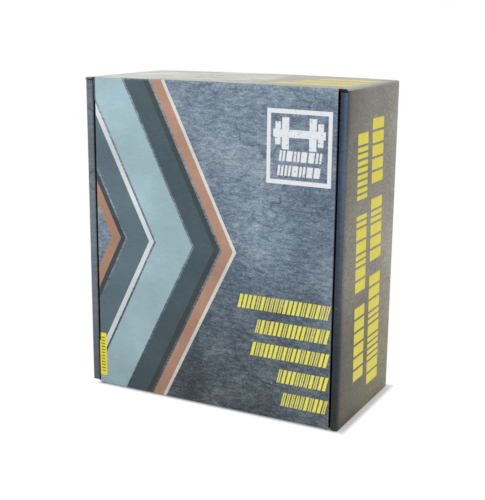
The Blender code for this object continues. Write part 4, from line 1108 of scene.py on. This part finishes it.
def belt_line(circles):
    """The closed line of a belt pulled tight round circles (a, b, radius), anticlockwise.

    Between two circles it runs along their outer tangent, whose normal leans from the line
    of centres by asin((r1 - r2) / distance)."""
    normals = []
    for (a, b, r), (na, nb, nr) in zip(circles, circles[1:] + circles[:1]):
        run = math.hypot(na - a, nb - b)
        normals.append(math.atan2(nb - b, na - a) - math.pi / 2 + math.asin((r - nr) / run))
    parts = []
    for n, (a, b, r) in enumerate(circles):
        start, end = normals[n - 1], normals[n]
        end += 2 * math.pi * math.ceil((start - end) / (2 * math.pi)) if end < start else 0
        parts.append(sweep_arc((a, b), r, start, end))
    return np.concatenate(parts)


def upright_path(line, y):
    """A line in X and Z as places in space."""
    return np.insert(line, 1, y, axis=1)


# %% [markdown]
# ## Finishes of the trainer
# Webbing has ribs along its length and a finer beat across them, so its material follows two
# measures: the length along the strap, kept with each point, and the width, which is Y for every
# strap here. Metal and moulded parts get their life from roughness that varies over them.

# %% Woven and sewn
MID_Y, RIB, BEAT = 0.0087, 0.0016, 0.0015


def webbing_finish(name, view, dark, light, stripe=None):
    """Woven tape: ribs every 1.6 mm of width, and a beat every 1.5 mm that shifts rib by rib."""
    f = Finish(name, view, Sheen_Weight=0.25, Sheen_Roughness=0.4)
    at = f.object_place()
    _, y, _ = f.split(at)
    rib = (y - MID_Y) / RIB
    lift = (rib * (2 * math.pi)).sine() * 0.5 + 0.5
    run = f.attribute("along") + (rib.whole() * 0.5).fraction() * BEAT
    beat = (run * (2 * math.pi / BEAT)).sine() * 0.5 + 0.5
    weave = lift * 0.55 + beat * lift * 0.45
    fuzz = f.noise(at, 3200, 2, 0.7)
    share = weave * 0.5 + fuzz * 0.25 + f.noise(at, 45, 3, 0.6) * 0.25
    colour = f.blend(share.rises(0.12, 0.85), dark, light)
    if stripe:
        band = ((y - MID_Y).size() - 0.0118).size().falls(0.0011, 0.0013)
        colour = f.blend(band, colour, f.tinted(stripe, weave * 0.4 + 0.7))
    return f.done(colour, fuzz * 0.15 + 0.68, weave + fuzz * 0.15, 0.00025, 0.8)


def thread_finish(name, view, dark, light):
    """Twisted sewing thread."""
    f = Finish(name, view, Sheen_Weight=0.2)
    twist = f.noise(f.object_place(), 5200, 2, 0.6)
    return f.done(f.blend(twist, dark, light), twist * 0.2 + 0.5, twist, 0.0001, 0.5)


def foam_finish(name, view, dark, light):
    """Closed-cell foam: small pits of uneven size on a matt skin."""
    f = Finish(name, view, Sheen_Weight=0.15)
    at = f.object_place()
    pits, fine = f.cells(at, 950).falls(0.10, 0.42), f.noise(at, 1700, 3, 0.7)
    share = (f.noise(at, 40, 3, 0.6) * 0.5 + fine * 0.5).rises(0.3, 0.7) * (1 - pits * 0.6)
    colour = f.blend(share, dark, light)
    return f.done(colour, fine * 0.15 + 0.78, fine * 0.5 - pits * 0.8, 0.0003, 0.7)


# %% Moulded, metal and paper
def moulded_finish(name, view, dark, light):
    """Moulded nylon with a fine spark-eroded grain, polished here and there by handling."""
    f = Finish(name, view)
    at = f.object_place()
    grain, rub = f.noise(at, 2600, 2, 0.6), f.noise(at, 90, 3, 0.6)
    colour = f.blend(grain * 0.5 + rub * 0.5, dark, light)
    return f.done(colour, rub * 0.22 + 0.32, grain, 0.00006, 0.6)


def metal_finish(name, view, dark, light, rough, metallic=1.0):
    """Tumbled metal: fine scratches in two directions and cloudy stains."""
    f = Finish(name, view, Metallic=metallic)
    at = f.object_place()
    scratch = f.noise(f.stretched(at, (1, 1, 0.06)), 3400, 2, 0.6)
    both = scratch + f.noise(f.stretched(at, (0.06, 1, 1)), 2800, 2, 0.6)
    cloud = f.noise(at, 120, 4, 0.6)
    colour = f.blend(cloud * 0.6 + scratch * 0.4, dark, light)
    return f.done(colour, both * 0.12 + cloud * 0.12 + rough, both, 0.00003, 0.5)


def paper_finish(name):
    """White paper with page lines at the trimmed edges and a bent stripe on its cover."""
    f = Finish(name, "#e9e8e2")
    at = f.object_place()
    x, y, z = f.split(at)
    fibre = f.noise(at, 900, 3, 0.6)
    leaf = (y * (2 * math.pi / 0.00022)).sine() * 0.5 + 0.5
    trimmed = x.rises(0.0735, 0.0738).most(z.rises(0.2134, 0.2136)).most(z.falls(0.0042, 0.0044))
    colour = f.blend(fibre, "#dedcd3", "#f1f0ea")
    colour = f.blend(trimmed * leaf * 0.5, colour, "#8f8c84")
    run = (x + (z - 0.11).size() * 0.5 + 0.05) / 0.04
    band = run.fraction().within(0.1, 0.45, 0.01) * run.within(0, 3, 0.01)
    colour = f.blend(y.falls(0.0505, 0.0506) * band, colour, "#5c7480")
    return f.done(colour, fibre * 0.15 + 0.45, fibre, 0.00005, 0.5)


def kraft_node_finish(name):
    """The kraft finish for CAD nodes that stay, on Object coordinates."""
    f = Finish(name, "#b38d64")
    colour, fibre = kraft_side(f, f.object_place())
    return f.done(colour, fibre * 0.2 + 0.75, fibre, 0.0001, 0.5)


BLACK_WEB = webbing_finish("black_webbing_finish", "#1c1d1f", "#0c0d0e", "#33353a", "#d8c52a")
PLAIN_WEB = webbing_finish("narrow_webbing_finish", "#1c1d1f", "#0c0d0e", "#33353a")
YELLOW_WEB = webbing_finish("yellow_webbing_finish", "#e3cf24", "#a8950f", "#f4e23c")
THREAD = thread_finish("sewing_thread_finish", "#e8dc60", "#b9a92c", "#f3ea84")
FOAM = foam_finish("grip_foam_finish", "#232427", "#121315", "#303237")
MOULDED = moulded_finish("moulded_nylon_finish", "#1b1c1e", "#0f1011", "#26282b")
STEEL = metal_finish("plated_steel_finish", "#b9bcc0", "#9fa2a6", "#cfd1d4", 0.14)
DARK_STEEL = metal_finish("blackened_steel_finish", "#2b2c2f", "#1d1e20", "#3a3b3e", 0.24, 0.85)
TIE_TAPE = webbing_finish("tie_tape_finish", "#26282a", "#15171a", "#3b3e42")
PAPER = paper_finish("guide_paper_finish")
NODE_KRAFT = kraft_node_finish("kraft_flap_finish")
print("trainer finishes ready:", len(bpy.data.materials), "materials in all")

# %% [markdown]
# ## Tray, corner flaps and guide
# The tray is one more sheet of board, with a deck and four skirts. Across and along each have
# their own fold line, and the depth of a point is the deeper of the two. The corners, where two
# skirts would share the same cells, are left out, and so are the slots for the ties.

# %% Tray
DECK_Y, TRAY_REAR = 0.0280, 0.0521
TRAY_HALF, TRAY_FOOT, TRAY_TOP = 0.1024, 0.0019, 0.2481
SLOT_HALF, SLIT_HALF = 0.0044, 0.0008
COIL_X, COIL_Z, HANDLE_X, HANDLE_Z, PAD_Z, HOOK_Z = 0.0620, 0.2030, 0.0770, 0.0840, 0.0182, 0.2000
deck_slots = [(leg, HOOK_Z, SLIT_HALF, SLOT_HALF) for leg in (-0.0212, -0.0118)]
for side, _ in SIDES:
    deck_slots += [(side * COIL_X, leg, SLOT_HALF, SLIT_HALF) for leg in (0.1647, 0.2413)]
    deck_slots += [(side * leg, HANDLE_Z, SLIT_HALF, SLOT_HALF) for leg in (0.0588, 0.0990)]
    deck_slots.append((side * 0.0170, PAD_Z, SLIT_HALF, SLOT_HALF))


def tray_lines(low, high, marks):
    """Flat positions across the tray with their place and depth on a track with two folds."""
    line, length = track([(low, TRAY_REAR), (low, DECK_Y), (high, DECK_Y), (high, TRAY_REAR)])
    first, last = length[7], length[8]
    marks = np.array(sorted(marks)) - line[7, 0] + first
    flat = np.linspace(first, last, round((last - first) / 0.009) + 1)
    skirts = [np.linspace(0, length[1], 4), np.linspace(length[-2], length[-1], 4)]
    every = np.unique(np.concatenate([length, marks, flat, *skirts]).round(6))
    every = every[np.append(np.diff(every) > 0.00015, True) | np.isin(every, marks.round(6))]
    return every, along_track(line, length, every), (length[4], length[-5])


slot_u = [s[0] + e * s[2] for s in deck_slots for e in (-1, 1)]
slot_v = [s[1] + e * s[3] for s in deck_slots for e in (-1, 1)]
tray_u, flat_u, folds_u = tray_lines(-TRAY_HALF, TRAY_HALF, slot_u)
tray_v, flat_v, folds_v = tray_lines(TRAY_FOOT, TRAY_TOP, slot_v)
X, Z = grid(flat_u[:, 0], flat_v[:, 0])
Y = np.maximum.outer(flat_u[:, 1], flat_v[:, 1])
(mid_x, deep_u), (mid_z, deep_v) = mids(flat_u).T, mids(flat_v).T
left_out = np.logical_and.outer(deep_u > DECK_Y + 0.0001, deep_v > DECK_Y + 0.0001)
for x, z, half_x, half_z in deck_slots:
    left_out |= np.logical_and.outer(np.abs(mid_x - x) < half_x, np.abs(mid_z - z) < half_z)
points = np.stack([X, Y, Z], -1)
tray = board("backing_tray_board", tray_u, tray_v, points, KRAFT, folds_u, folds_v, ~left_out)
settle(tray, "carton", "kraft_board", "backing_tray")
for name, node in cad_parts.items():
    if name.endswith("corner_flap"):
        node.data.materials.clear()
        node.data.materials.append(NODE_KRAFT)
print("tray", len(tray.data.polygons), "faces,", len(deck_slots), "slots")

# %% Exercise guide
GUIDE_HALF, GUIDE_FRONT, GUIDE_REAR, GUIDE_FOOT, GUIDE_TOP = 0.0740, 0.0503, 0.0521, 0.0038, 0.2138
LEAF_HALF, PAGES_HALF, PAGES_TALL, COVER_BEND = 0.00014, 0.00058, 0.1046, 0.0005
round_it = [(GUIDE_HALF, GUIDE_FRONT), (-GUIDE_HALF, GUIDE_FRONT)]
round_it += [(-GUIDE_HALF, GUIDE_REAR), (GUIDE_HALF, GUIDE_REAR)]
cover_line, _ = track(round_it, COVER_BEND, 4)
cover_path = np.insert(spaced(cover_line[::-1], 0.012), 2, 0.0, axis=1)
leaf = [(-LEAF_HALF, GUIDE_FOOT), (LEAF_HALF, GUIDE_FOOT)]
leaf += [(LEAF_HALF, GUIDE_TOP), (-LEAF_HALF, GUIDE_TOP)]
pages_path = np.full((12, 3), (0, (GUIDE_FRONT + GUIDE_REAR) / 2, (GUIDE_FOOT + GUIDE_TOP) / 2))
pages_path[:, 0] = np.linspace(-GUIDE_HALF + 0.0006, GUIDE_HALF - 0.0005, 12)
pages = carry(pages_path, rounded(PAGES_HALF, PAGES_TALL, 0.0001, 1), (0, 0, 1))
leaves = [form(carry(cover_path, np.array(leaf), (0, 0, 1))), form(pages)]
guide = make("exercise_guide_booklet", leaves, PAPER, "carton", "paper", "exercise_guide")
print("guide", len(guide.data.polygons), "faces")

# %% [markdown]
# ## Webbing
# A strap is a flat section with rounded edges, carried along its line. The main strap starts at
# the sewn joint, turns up, winds into a doubled coil and hangs down through the buckle. A coil is
# a spiral: radius = core + 2 pitch x turns. Its two arms meet in an S at the heart.

# %% The main strap's line
CORE, PITCH, COIL_TURNS = 0.0080, 0.0026, 5
RISER_X, LEG_X, SEAM_TOP, LEG_BEND_Z = 0.0254, 0.00345, 0.1380, 0.0996
STRAP_X, BAR_X, PIVOT_X, PIVOT_Z = 0.0380, 0.0455, 0.0324, 0.1200
TAIL_LEAN, TAIL_BEND, TAIL_END_Z = math.radians(30), 0.020, 0.070


def spiral(turns, start, steps=60):
    """One arm of the coil about its heart."""
    angle = np.linspace(0, 2 * np.pi * turns, round(turns * steps) + 1)
    radius = CORE + 2 * PITCH * angle / (2 * np.pi)
    return radius[:, None] * np.stack([np.cos(angle + start), np.sin(angle + start)], -1)


def main_strap_line():
    """The line of the main strap at +X, in X and Z."""
    bend, half = (RISER_X - LEG_X) / 2, CORE / 2
    turn = sweep_arc((LEG_X + bend, LEG_BEND_Z), bend, np.pi, 2 * np.pi)
    first, second = (sweep_arc((e * half, 0), half, 0, -e * np.pi, 0.25) for e in (1, -1))
    inward, outward_arm = spiral(COIL_TURNS + 0.5, 0)[::-1], spiral(COIL_TURNS + 1 / 12, np.pi)
    coil = np.concatenate([inward, first[1:], second[1:-1], outward_arm]) + (COIL_X, COIL_Z)
    leave_x, leave_z = coil[-1]
    bend_x = STRAP_X - TAIL_BEND
    straight = (bend_x + TAIL_BEND * math.cos(TAIL_LEAN) - leave_x) / math.sin(TAIL_LEAN)
    bend_z = leave_z - straight * math.cos(TAIL_LEAN) - TAIL_BEND * math.sin(TAIL_LEAN)
    tail = sweep_arc((bend_x, bend_z), TAIL_BEND, TAIL_LEAN, 0)
    parts = [[(LEG_X, SEAM_TOP)], turn, coil, tail, [(STRAP_X, TAIL_END_Z)]]
    return spaced(np.concatenate(parts), 0.004)


# %% Straps
WEBBING, CAP_BEND, RIM_BEND = 0.0020, 0.006, 0.0075
MAIN_WIDTH, LOOP_WIDTH, ANCHOR_WIDTH = 0.032, 0.020, 0.025


def webbing(node, line, width, material, slot, side=1):
    """A strap along a line in X and Z, with its length kept at each point."""
    section, run = rounded(WEBBING / 2, width / 2, 0.0007), run_of(line)
    grid = carry(upright_path(line * (side, 1), MID_Y), section, (0, 1, 0))
    made = make(node + "_webbing", [form(grid)], material, "carton", slot, node)
    attach(made, "along", np.repeat(run, len(section)))
    print(made.name, round(run[-1], 3), "m long")


inner_x, rim = HANDLE_X - 0.00715, HANDLE_X - 0.0203 + RIM_BEND
outer_x, outer_rim = 2 * HANDLE_X - inner_x, 2 * HANDLE_X - rim
high, low = HANDLE_Z + 0.0651, HANDLE_Z - 0.0651
beyond_low, beyond_high = low - 0.0025, high + 0.0025
hand_line = belt_line([
    (inner_x, beyond_low, CAP_BEND), (inner_x, beyond_high, CAP_BEND), (rim, high, RIM_BEND),
    (BAR_X, HANDLE_Z, 0.0038), (rim, low, RIM_BEND),
])
foot_line = belt_line([
    (outer_x, beyond_low, CAP_BEND), (outer_rim, low, RIM_BEND), (outer_rim, high, RIM_BEND),
    (outer_x, beyond_high, CAP_BEND),
])
door_line = belt_line([(0, PAD_Z, 0.0153), (0, 0.0682, 0.006)])
straps = (
    ("main_strap", main_strap_line(), MAIN_WIDTH, BLACK_WEB, "black_webbing"),
    ("hand_loop", around(hand_line), LOOP_WIDTH, PLAIN_WEB, "black_webbing"),
    ("foot_loop", around(foot_line), LOOP_WIDTH, YELLOW_WEB, "yellow_webbing"),
)
for side, word in SIDES:
    for kind, *plan in straps:
        webbing(f"{word}_{kind}", *plan, side)

PLY_X, SEAM_FOOT, RING_FOOT, EYE, EYE_DROP = 0.00115, 0.1118, 0.1508, 0.0038, 0.0108
lean = math.asin((EYE - PLY_X) / EYE_DROP)
over = sweep_arc((0, RING_FOOT), EYE, -lean, np.pi + lean)
leg = np.array([(PLY_X, SEAM_FOOT), (PLY_X, RING_FOOT - EYE_DROP)])
anchor_line = spaced(np.concatenate([leg, over, leg[::-1] * (-1, 1)]), 0.003)
webbing("door_anchor_loop", around(door_line), ANCHOR_WIDTH, PLAIN_WEB, "black_webbing")
webbing("anchor_strap", anchor_line, ANCHOR_WIDTH, YELLOW_WEB, "yellow_webbing")

# %% [markdown]
# ## Stitching
# Thread shows as short beads that sink into the webbing at both ends. One bead has a few dozen
# faces and is set down many times: each copy's points are its centre plus the bead's own points
# along the seam, across it and out of the strap.

# %% Stitches
BEAD_LENGTH, BEAD_HALF, STITCH, END_SEAM_HALF = 0.0023, 0.00042, 0.0031, 0.013
ring = circle(BEAD_HALF, 6)
ends = zip(np.array([-1, -0.7, 0, 0.7, 1]) * BEAD_LENGTH / 2, (0.25, 0.8, 1, 0.8, 0.25))
BEAD_POINTS, BEAD_FACES = form(np.stack([np.insert(ring * s, 0, a, axis=1) for a, s in ends]))


def seam(start, end, out):
    """Beads from start to end on a face whose outward direction is out."""
    start, end, out = (np.array(p, float) for p in (start, end, out))
    reach = np.linalg.norm(end - start)
    count = max(2, round(reach / STITCH))
    along = (end - start) / reach
    centres = start + (end - start) * (np.arange(count) + 0.5)[:, None] / count
    points = centres[:, None] + (BEAD_POINTS @ np.stack([along, np.cross(out, along), out]))[None]
    offsets = np.arange(count)[:, None, None] * len(BEAD_POINTS)
    return points.reshape(-1, 3), [(f[None] + offsets).reshape(-1, f.shape[1]) for f in BEAD_FACES]


def boxed_cross(side, half=0.0100, foot=0.1140, head=0.1360):
    """The usual lock stitch: a box with a cross in it, on a face square to X."""
    ends = ((-half, foot), (half, foot), (half, head), (-half, head))
    a, b, c, d = ((side * (LEG_X + WEBBING / 2), MID_Y + y, z) for y, z in ends)
    return [seam(p, q, (side, 0, 0)) for p, q in ((a, b), (b, c), (c, d), (d, a), (a, c), (b, d))]


rows = [row for side, _ in SIDES for row in boxed_cross(side)]
make("sewn_joint_stitching", rows, THREAD, "carton", "yellow_webbing")
for side, word in SIDES:
    face, out = side * (STRAP_X + WEBBING / 2), (side, 0, 0)
    near, far = MID_Y - END_SEAM_HALF, MID_Y + END_SEAM_HALF
    rows = [seam((face, near, z), (face, far, z), out) for z in (0.0722, 0.0750)]
    make(f"{word}_strap_end_stitching", rows, THREAD, "carton", "yellow_webbing")
print("a bead has", sum(len(f) for f in BEAD_FACES), "faces")

# %% [markdown]
# ## Ties
# Each tie is a woven band that runs through two slots of the deck and hugs what it holds. Its
# line is a belt round small circles, so it turns the corners without a kink.

# %% Ties
TIE_HALF, TIE_WIDE, BACK_Y, TURN_ROUND = 0.0004, 0.0080, 0.0300, 0.0007
COIL_LOW, COIL_HIGH, COIL_FRONT = 0.1655, 0.2405, -0.0072


def mirrored(circles):
    """The same circles at -X, in the order that keeps a belt round them anticlockwise."""
    return [(-x, y, r) for x, y, r in reversed(circles)]


hook_tie = [(-0.0205, BACK_Y, TURN_ROUND), (-0.0165, MID_Y, 0.0047), (-0.0125, BACK_Y, TURN_ROUND)]
pad_tie = [(x, y, TURN_ROUND) for x, y in ((0.0131, -0.0093), (0.0163, -0.0046), (0.0163, BACK_Y))]
grip_tie = [(0.0595, BACK_Y, TURN_ROUND), (HANDLE_X, MID_Y, 0.0182)]
grip_tie += [(0.0980, -0.0022, 0.0010), (0.0983, BACK_Y, TURN_ROUND)]
coil_tie = [(COIL_FRONT, COIL_LOW, 0.0008), (BACK_Y, COIL_LOW, 0.0008)]
coil_tie += [(BACK_Y, COIL_HIGH, 0.0008), (COIL_FRONT, COIL_HIGH, 0.0008)]
tie_plans = {"carabiner": (2, HOOK_Z, hook_tie)}
tie_plans["door_anchor"] = (2, PAD_Z, mirrored(pad_tie) + pad_tie)
for side, word in SIDES:
    tie_plans[f"{word}_handle"] = (2, HANDLE_Z, grip_tie if side > 0 else mirrored(grip_tie))
    tie_plans[f"{word}_coil"] = (0, side * COIL_X, coil_tie)
for word, (axis, where, circles) in tie_plans.items():
    path = np.insert(around(belt_line(circles))[:-1], axis, where, axis=1)
    section = rounded(TIE_HALF, TIE_WIDE / 2, 0.0003, 2)
    ring = [form(carry(path, section, np.eye(3)[axis], loop=True), True)]
    band = make(f"{word}_tie_band", ring, TIE_TAPE, "carton", "tie", f"{word}_tie")
    attach(band, "along", np.repeat(run_of(path), len(section)))
print("ties", sorted(tie_plans))

# %% [markdown]
# ## Handles
# A handle is a nylon tube with a foam grip that spins on it and a moulded cap at each end. All
# are turned forms. The grip swells in three soft waves: radius = middle + swing cos(2 pi h /
# wave), and its ends are rounded off.

# %% Handles
TUBE_HALF, GRIP_HALF, GRIP_MIDDLE, GRIP_SWING = 0.0651, 0.0600, 0.01715, 0.00035
GRIP_ROUND, GRIP_BORE, CAP_HALF, CAP_GAP = 0.0016, 0.0130, 0.0021, 0.0003
grip_end = GRIP_HALF - 0.0002
height = np.linspace(-1, 1, 61) * grip_end
wave = GRIP_MIDDLE + GRIP_SWING * np.cos(2 * np.pi * height / (0.9 * GRIP_HALF))
into_end = np.clip(np.abs(height) - GRIP_HALF + GRIP_ROUND, 0, None) / GRIP_ROUND
round_off = np.sqrt(np.clip(1 - into_end**2, 0, 1))
outer = np.stack([wave - 0.0012 * (1 - round_off), height], -1)[::-1]
grip_profile = np.concatenate([outer, [(GRIP_BORE, -grip_end), (GRIP_BORE, grip_end)]])
rim_line = sweep_arc((0.0180, 0.0011), 0.0010, np.pi / 2, 0, np.pi / 8)
dish = [(0.0129, 0.0021), (0.0140, 0.0021), (0.0145, 0.0016), (0.0164, 0.0016), (0.0169, 0.0021)]
cap_profile = np.concatenate([dish, rim_line, rim_line[::-1] * (1, -1), [(0.0129, -0.0021)]])
tube_profile = [(0.0126, 0.0646), (0.0122, TUBE_HALF), (0.0110, TUBE_HALF), (0.0106, 0.0646)]
tube_profile += [(r, -h) for r, h in reversed(tube_profile)]
for side, word in SIDES:
    at = np.array((side * HANDLE_X, MID_Y, HANDLE_Z))
    grip, tube = [turned(grip_profile, at)], [turned(tube_profile, at)]
    grip = make(f"{word}_grip_foam", grip, FOAM, f"{word}_grip_sleeve", "foam", f"{word}_grip")
    make(f"{word}_handle_tube_nylon", tube, MOULDED, "carton", "plastic", f"{word}_handle_tube")
    for end, where in ((1, "upper"), (-1, "lower")):
        cap_at = at + (0, 0, end * (GRIP_HALF + CAP_GAP + CAP_HALF))
        cap = [turned(cap_profile * (1, end), cap_at)]
        name = f"{word}_{where}"
        make(name + "_cap_nylon", cap, MOULDED, "carton", "plastic", name + "_end_cap")
print("grip", len(grip.data.polygons), "faces")

# %% [markdown]
# ## Buckles
# A cam buckle has a frame of two plates, a back plate and a bar, and a lever whose toothed end
# presses the strap against the back plate. Each plate has a hole, so it is a ring: its section
# runs from the hole along one face, round the rim and back along the other face.


# %% Plates and blocks
def holed_plate(outline, hole, centre, y, half, soft=0.0004):
    """A plate in X and Z with a round hole, as a closed ring of sections.

    Each spoke runs from the hole's edge to the outline's point at the same angle. The rim is
    rounded by moving it in along the spoke."""
    spoke = outline - centre
    reach = np.linalg.norm(spoke, axis=1, keepdims=True)
    radii = [np.full_like(reach, hole), (reach + hole) / 2, reach - soft, reach - soft * 0.3, reach]
    heights = [half, half, half, half - soft * 0.3, half - soft]
    levels = zip(radii + radii[::-1], heights + [-h for h in reversed(heights)])
    rings = [upright_path(centre + spoke / reach * radius, y + h) for radius, h in levels]
    return form(np.stack(rings, 1), loop=True)


def soft_block(low, high, soft):
    """A block with rounded upright edges and softened ends, along Z."""
    low, high = np.array(low), np.array(high)
    half, middle = (high - low) / 2, (high + low) / 2
    rings = []
    for shrink, h in ((soft, 0), (soft * 0.3, soft * 0.3), (0, soft)):
        section = rounded(half[0] - shrink, half[1] - shrink, soft)
        rings.append((section, half[2] - h))
    ends = [(section, -h) for section, h in rings] + rings[::-1]
    return form(np.stack([np.insert(section, 2, h, axis=1) for section, h in ends]) + middle)


# %% Buckles
BORE, PLATE_Y, PLATE_HALF, LEVER_HALF, TOOTH = 0.0023, 0.0172, 0.0008, 0.0124, 0.00016
LEVER_REACH, LEVER_REST, WIRE, SPRING_RADIUS = 0.021, math.radians(9), 0.0004, 0.0027
BACK_PLATE, BAR_HALF, SPRING_Y, SPRING_PITCH = (0.0393, 0.0411), 0.0025, 0.0157, 0.0013
pivot = np.array([PIVOT_X, PIVOT_Z])
bosses = [(BAR_X, HANDLE_Z, 0.0045), (STRAP_X + 0.0016, PIVOT_Z + 0.005, 0.003), (*pivot, 0.0052)]
plate_line = spaced(belt_line(bosses), 0.002)
lobe = (PIVOT_X + 0.0006, PIVOT_Z + 0.00104, 0.0036)
tip = (*pivot - LEVER_REACH * np.array([math.sin(LEVER_REST), math.cos(LEVER_REST)]), 0.0014)
lever_line = spaced(belt_line([tip, lobe]), 0.0006)
spokes = lever_line - pivot
facing = np.arctan2(spokes[:, 1], spokes[:, 0])
teeth = TOOTH * np.sign(np.sin(facing * 26)) * (np.abs(facing - 0.5) < 1.1)
lever_line = lever_line + unit(spokes) * teeth[:, None]
pin_profile = [(0.0006, 0.0190), (0.0022, 0.0189), (0.0031, 0.01865)]
pin_profile += [(0.0033, 0.0184), (0.0033, 0.0183), (0.0020, 0.0183)]
pin_profile += [(r, -h) for r, h in reversed(pin_profile)]
turn = np.linspace(0, -4 * np.pi, 57)
coil_y = MID_Y - SPRING_Y + SPRING_PITCH * turn / (-2 * np.pi)
helix = upright_path(pivot + SPRING_RADIUS * np.stack([np.cos(turn), np.sin(turn)], -1), coil_y)
drops = (0.0008, 0.002, 0.005, 0.008)
legs, ends = [helix[:1] + (0, 0, z) for z in drops[::-1]], [helix[-1:] - (0, 0, z) for z in drops]
spring_line = np.concatenate([*legs, helix, *ends])
near, far = MID_Y - PLATE_Y, MID_Y + PLATE_Y
for side, word in SIDES:
    centre, mirror = pivot * (side, 1), (side, 1)
    frames = [holed_plate(plate_line * mirror, BORE, centre, y, PLATE_HALF) for y in (near, far)]
    bar = np.outer(np.linspace(-PLATE_Y, PLATE_Y, 5), (0, 1, 0)) + (side * BAR_X, MID_Y, HANDLE_Z)
    x_low, x_high = sorted(side * x for x in BACK_PLATE)
    plate = soft_block((x_low, near, 0.0990), (x_high, far, 0.1270), 0.0004)
    frames += [rod(bar, BAR_HALF, (0, 0, 1)), plate]
    make(f"{word}_buckle_frame_steel", frames, STEEL, "carton", "steel", f"{word}_buckle_frame")
    cam = [holed_plate(lever_line * mirror, BORE, centre, MID_Y, LEVER_HALF)]
    name = f"{word}_cam_lever"
    lever = make(name + "_steel", cam, DARK_STEEL, f"{word}_lever", "black_steel", name)
    pin = [turned(pin_profile, (centre[0], MID_Y, PIVOT_Z), "y", 32, loop=False)]
    make(f"{word}_buckle_pin_steel", pin, DARK_STEEL, "carton", "black_steel", f"{word}_buckle_pin")
    wire = [rod(spring_line * (side, 1, 1), WIRE, (0, 1, 0), count=8)]
    make(f"{word}_lever_spring_wire", wire, STEEL, "carton", "steel", f"{word}_lever_spring")
print("lever", len(lever.data.polygons), "faces")

# %% [markdown]
# ## Carabiner, ring and door anchor
# The hook is a rod bent to an oval, with a fork at one end that holds the gate's tongue on a
# pin. The fork's two ears are slices of the same rod on either side of the tongue. The door
# anchor is a foam pad in a webbing loop.

# %% Carabiner
OVAL, OVAL_TOP, OVAL_BOTTOM = 0.0165, 0.2215, 0.1785
HOOK_ROD, GATE_FOOT, NOSE_Z, TONGUE_TOP = 0.0040, 0.1825, 0.21705, 0.1892
nose = [(OVAL, NOSE_Z + rise) for rise in (0, 0.0006, 0.002)]
upper = sweep_arc((0, OVAL_TOP), OVAL, 0, np.pi)
lower = sweep_arc((0, OVAL_BOTTOM), OVAL, np.pi, 2 * np.pi - 0.04)
oval = spaced(np.concatenate([nose, upper, lower]), 0.005)
hook_size = np.ones(len(oval))
hook_size[:2] = 0.82, 0.95
hook = [form(carry(upright_path(oval, MID_Y), circle(HOOK_ROD, 28), (0, 1, 0), scale=hook_size))]
arc = np.radians(np.linspace(30, 150, 13))
ear_rings = ((1, 0.1772), (1, 0.1780), (1, 0.1830), (0.97, 0.1850), (0.9, 0.1855), (0.78, 0.1857))
for side, _ in SIDES:
    middle = np.array([0, side * 0.003])
    ear = HOOK_ROD * np.stack([np.cos(arc), np.sin(arc) * side], -1) - middle
    rings = [np.insert(ear * s + middle + (OVAL, MID_Y), 2, z, axis=1) for s, z in ear_rings]
    hook.append(form(np.stack(rings)))
make("carabiner_hook_steel", hook, STEEL, "carton", "steel", "carabiner_hook")
gate_profile = [(0.0026, 0.1883), (0.0032, 0.1886), (0.0034, 0.1892)]
gate_profile += [(0.0034, 0.2158), (0.0031, 0.2164), (0.0024, 0.21675)]
gate_rod = turned(gate_profile, (OVAL, MID_Y, 0), count=32, loop=False)
shoulders = [(OVAL + x, TONGUE_TOP, 0.0005) for x in (0.0027, -0.0027)]
tongue_line = spaced(belt_line([(OVAL, GATE_FOOT, 0.0032), *shoulders]), 0.001)
tongue = holed_plate(tongue_line, 0.0015, np.array([OVAL, GATE_FOOT]), MID_Y, 0.0017, 0.0003)
make("carabiner_gate_steel", [gate_rod, tongue], STEEL, "gate", "steel", "carabiner_gate")
rivet = [(0.0004, 0.0040), (0.0010, 0.0039), (0.0012, 0.0036)]
rivet += [(r, -h) for r, h in reversed(rivet)]
rivet = [turned(rivet, (OVAL, MID_Y, GATE_FOOT), "y", 24, loop=False)]
make("carabiner_gate_rivet", rivet, DARK_STEEL, "carton", "black_steel", "carabiner_gate_pin")

# %% Ring and door anchor
RING_Z, RING_ROD = 0.1598, 0.0025
ring_path = upright_path(around(rounded(0.0162, 0.009, 0.0034, 8) + (0, RING_Z))[:-1], MID_Y)
link = [rod(ring_path, RING_ROD, (0, 1, 0), loop=True, count=24)]
make("anchor_ring_steel", link, STEEL, "carton", "steel", "anchor_ring")
face = [(0.0004, 0.0176), (0.004, 0.01765), (0.008, 0.0178)]
shoulder = sweep_arc((0.011, 0.015), 0.003, np.pi / 2, 0, np.pi / 12)
skirt = [(0.01402, 0.010), (0.01405, 0.005), (0.01405, 0.0)]
half_profile = np.concatenate([face, shoulder, skirt])
pad_profile = np.concatenate([half_profile, half_profile[-2::-1] * (1, -1)])
pad_form = turned(pad_profile, (0, MID_Y, PAD_Z), "y", loop=False)
pad = make("door_anchor_pad_foam", [pad_form], FOAM, "carton", "foam", "door_anchor_pad")
print("CAD nodes that still show:", [n for n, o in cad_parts.items() if not o.hide_render])
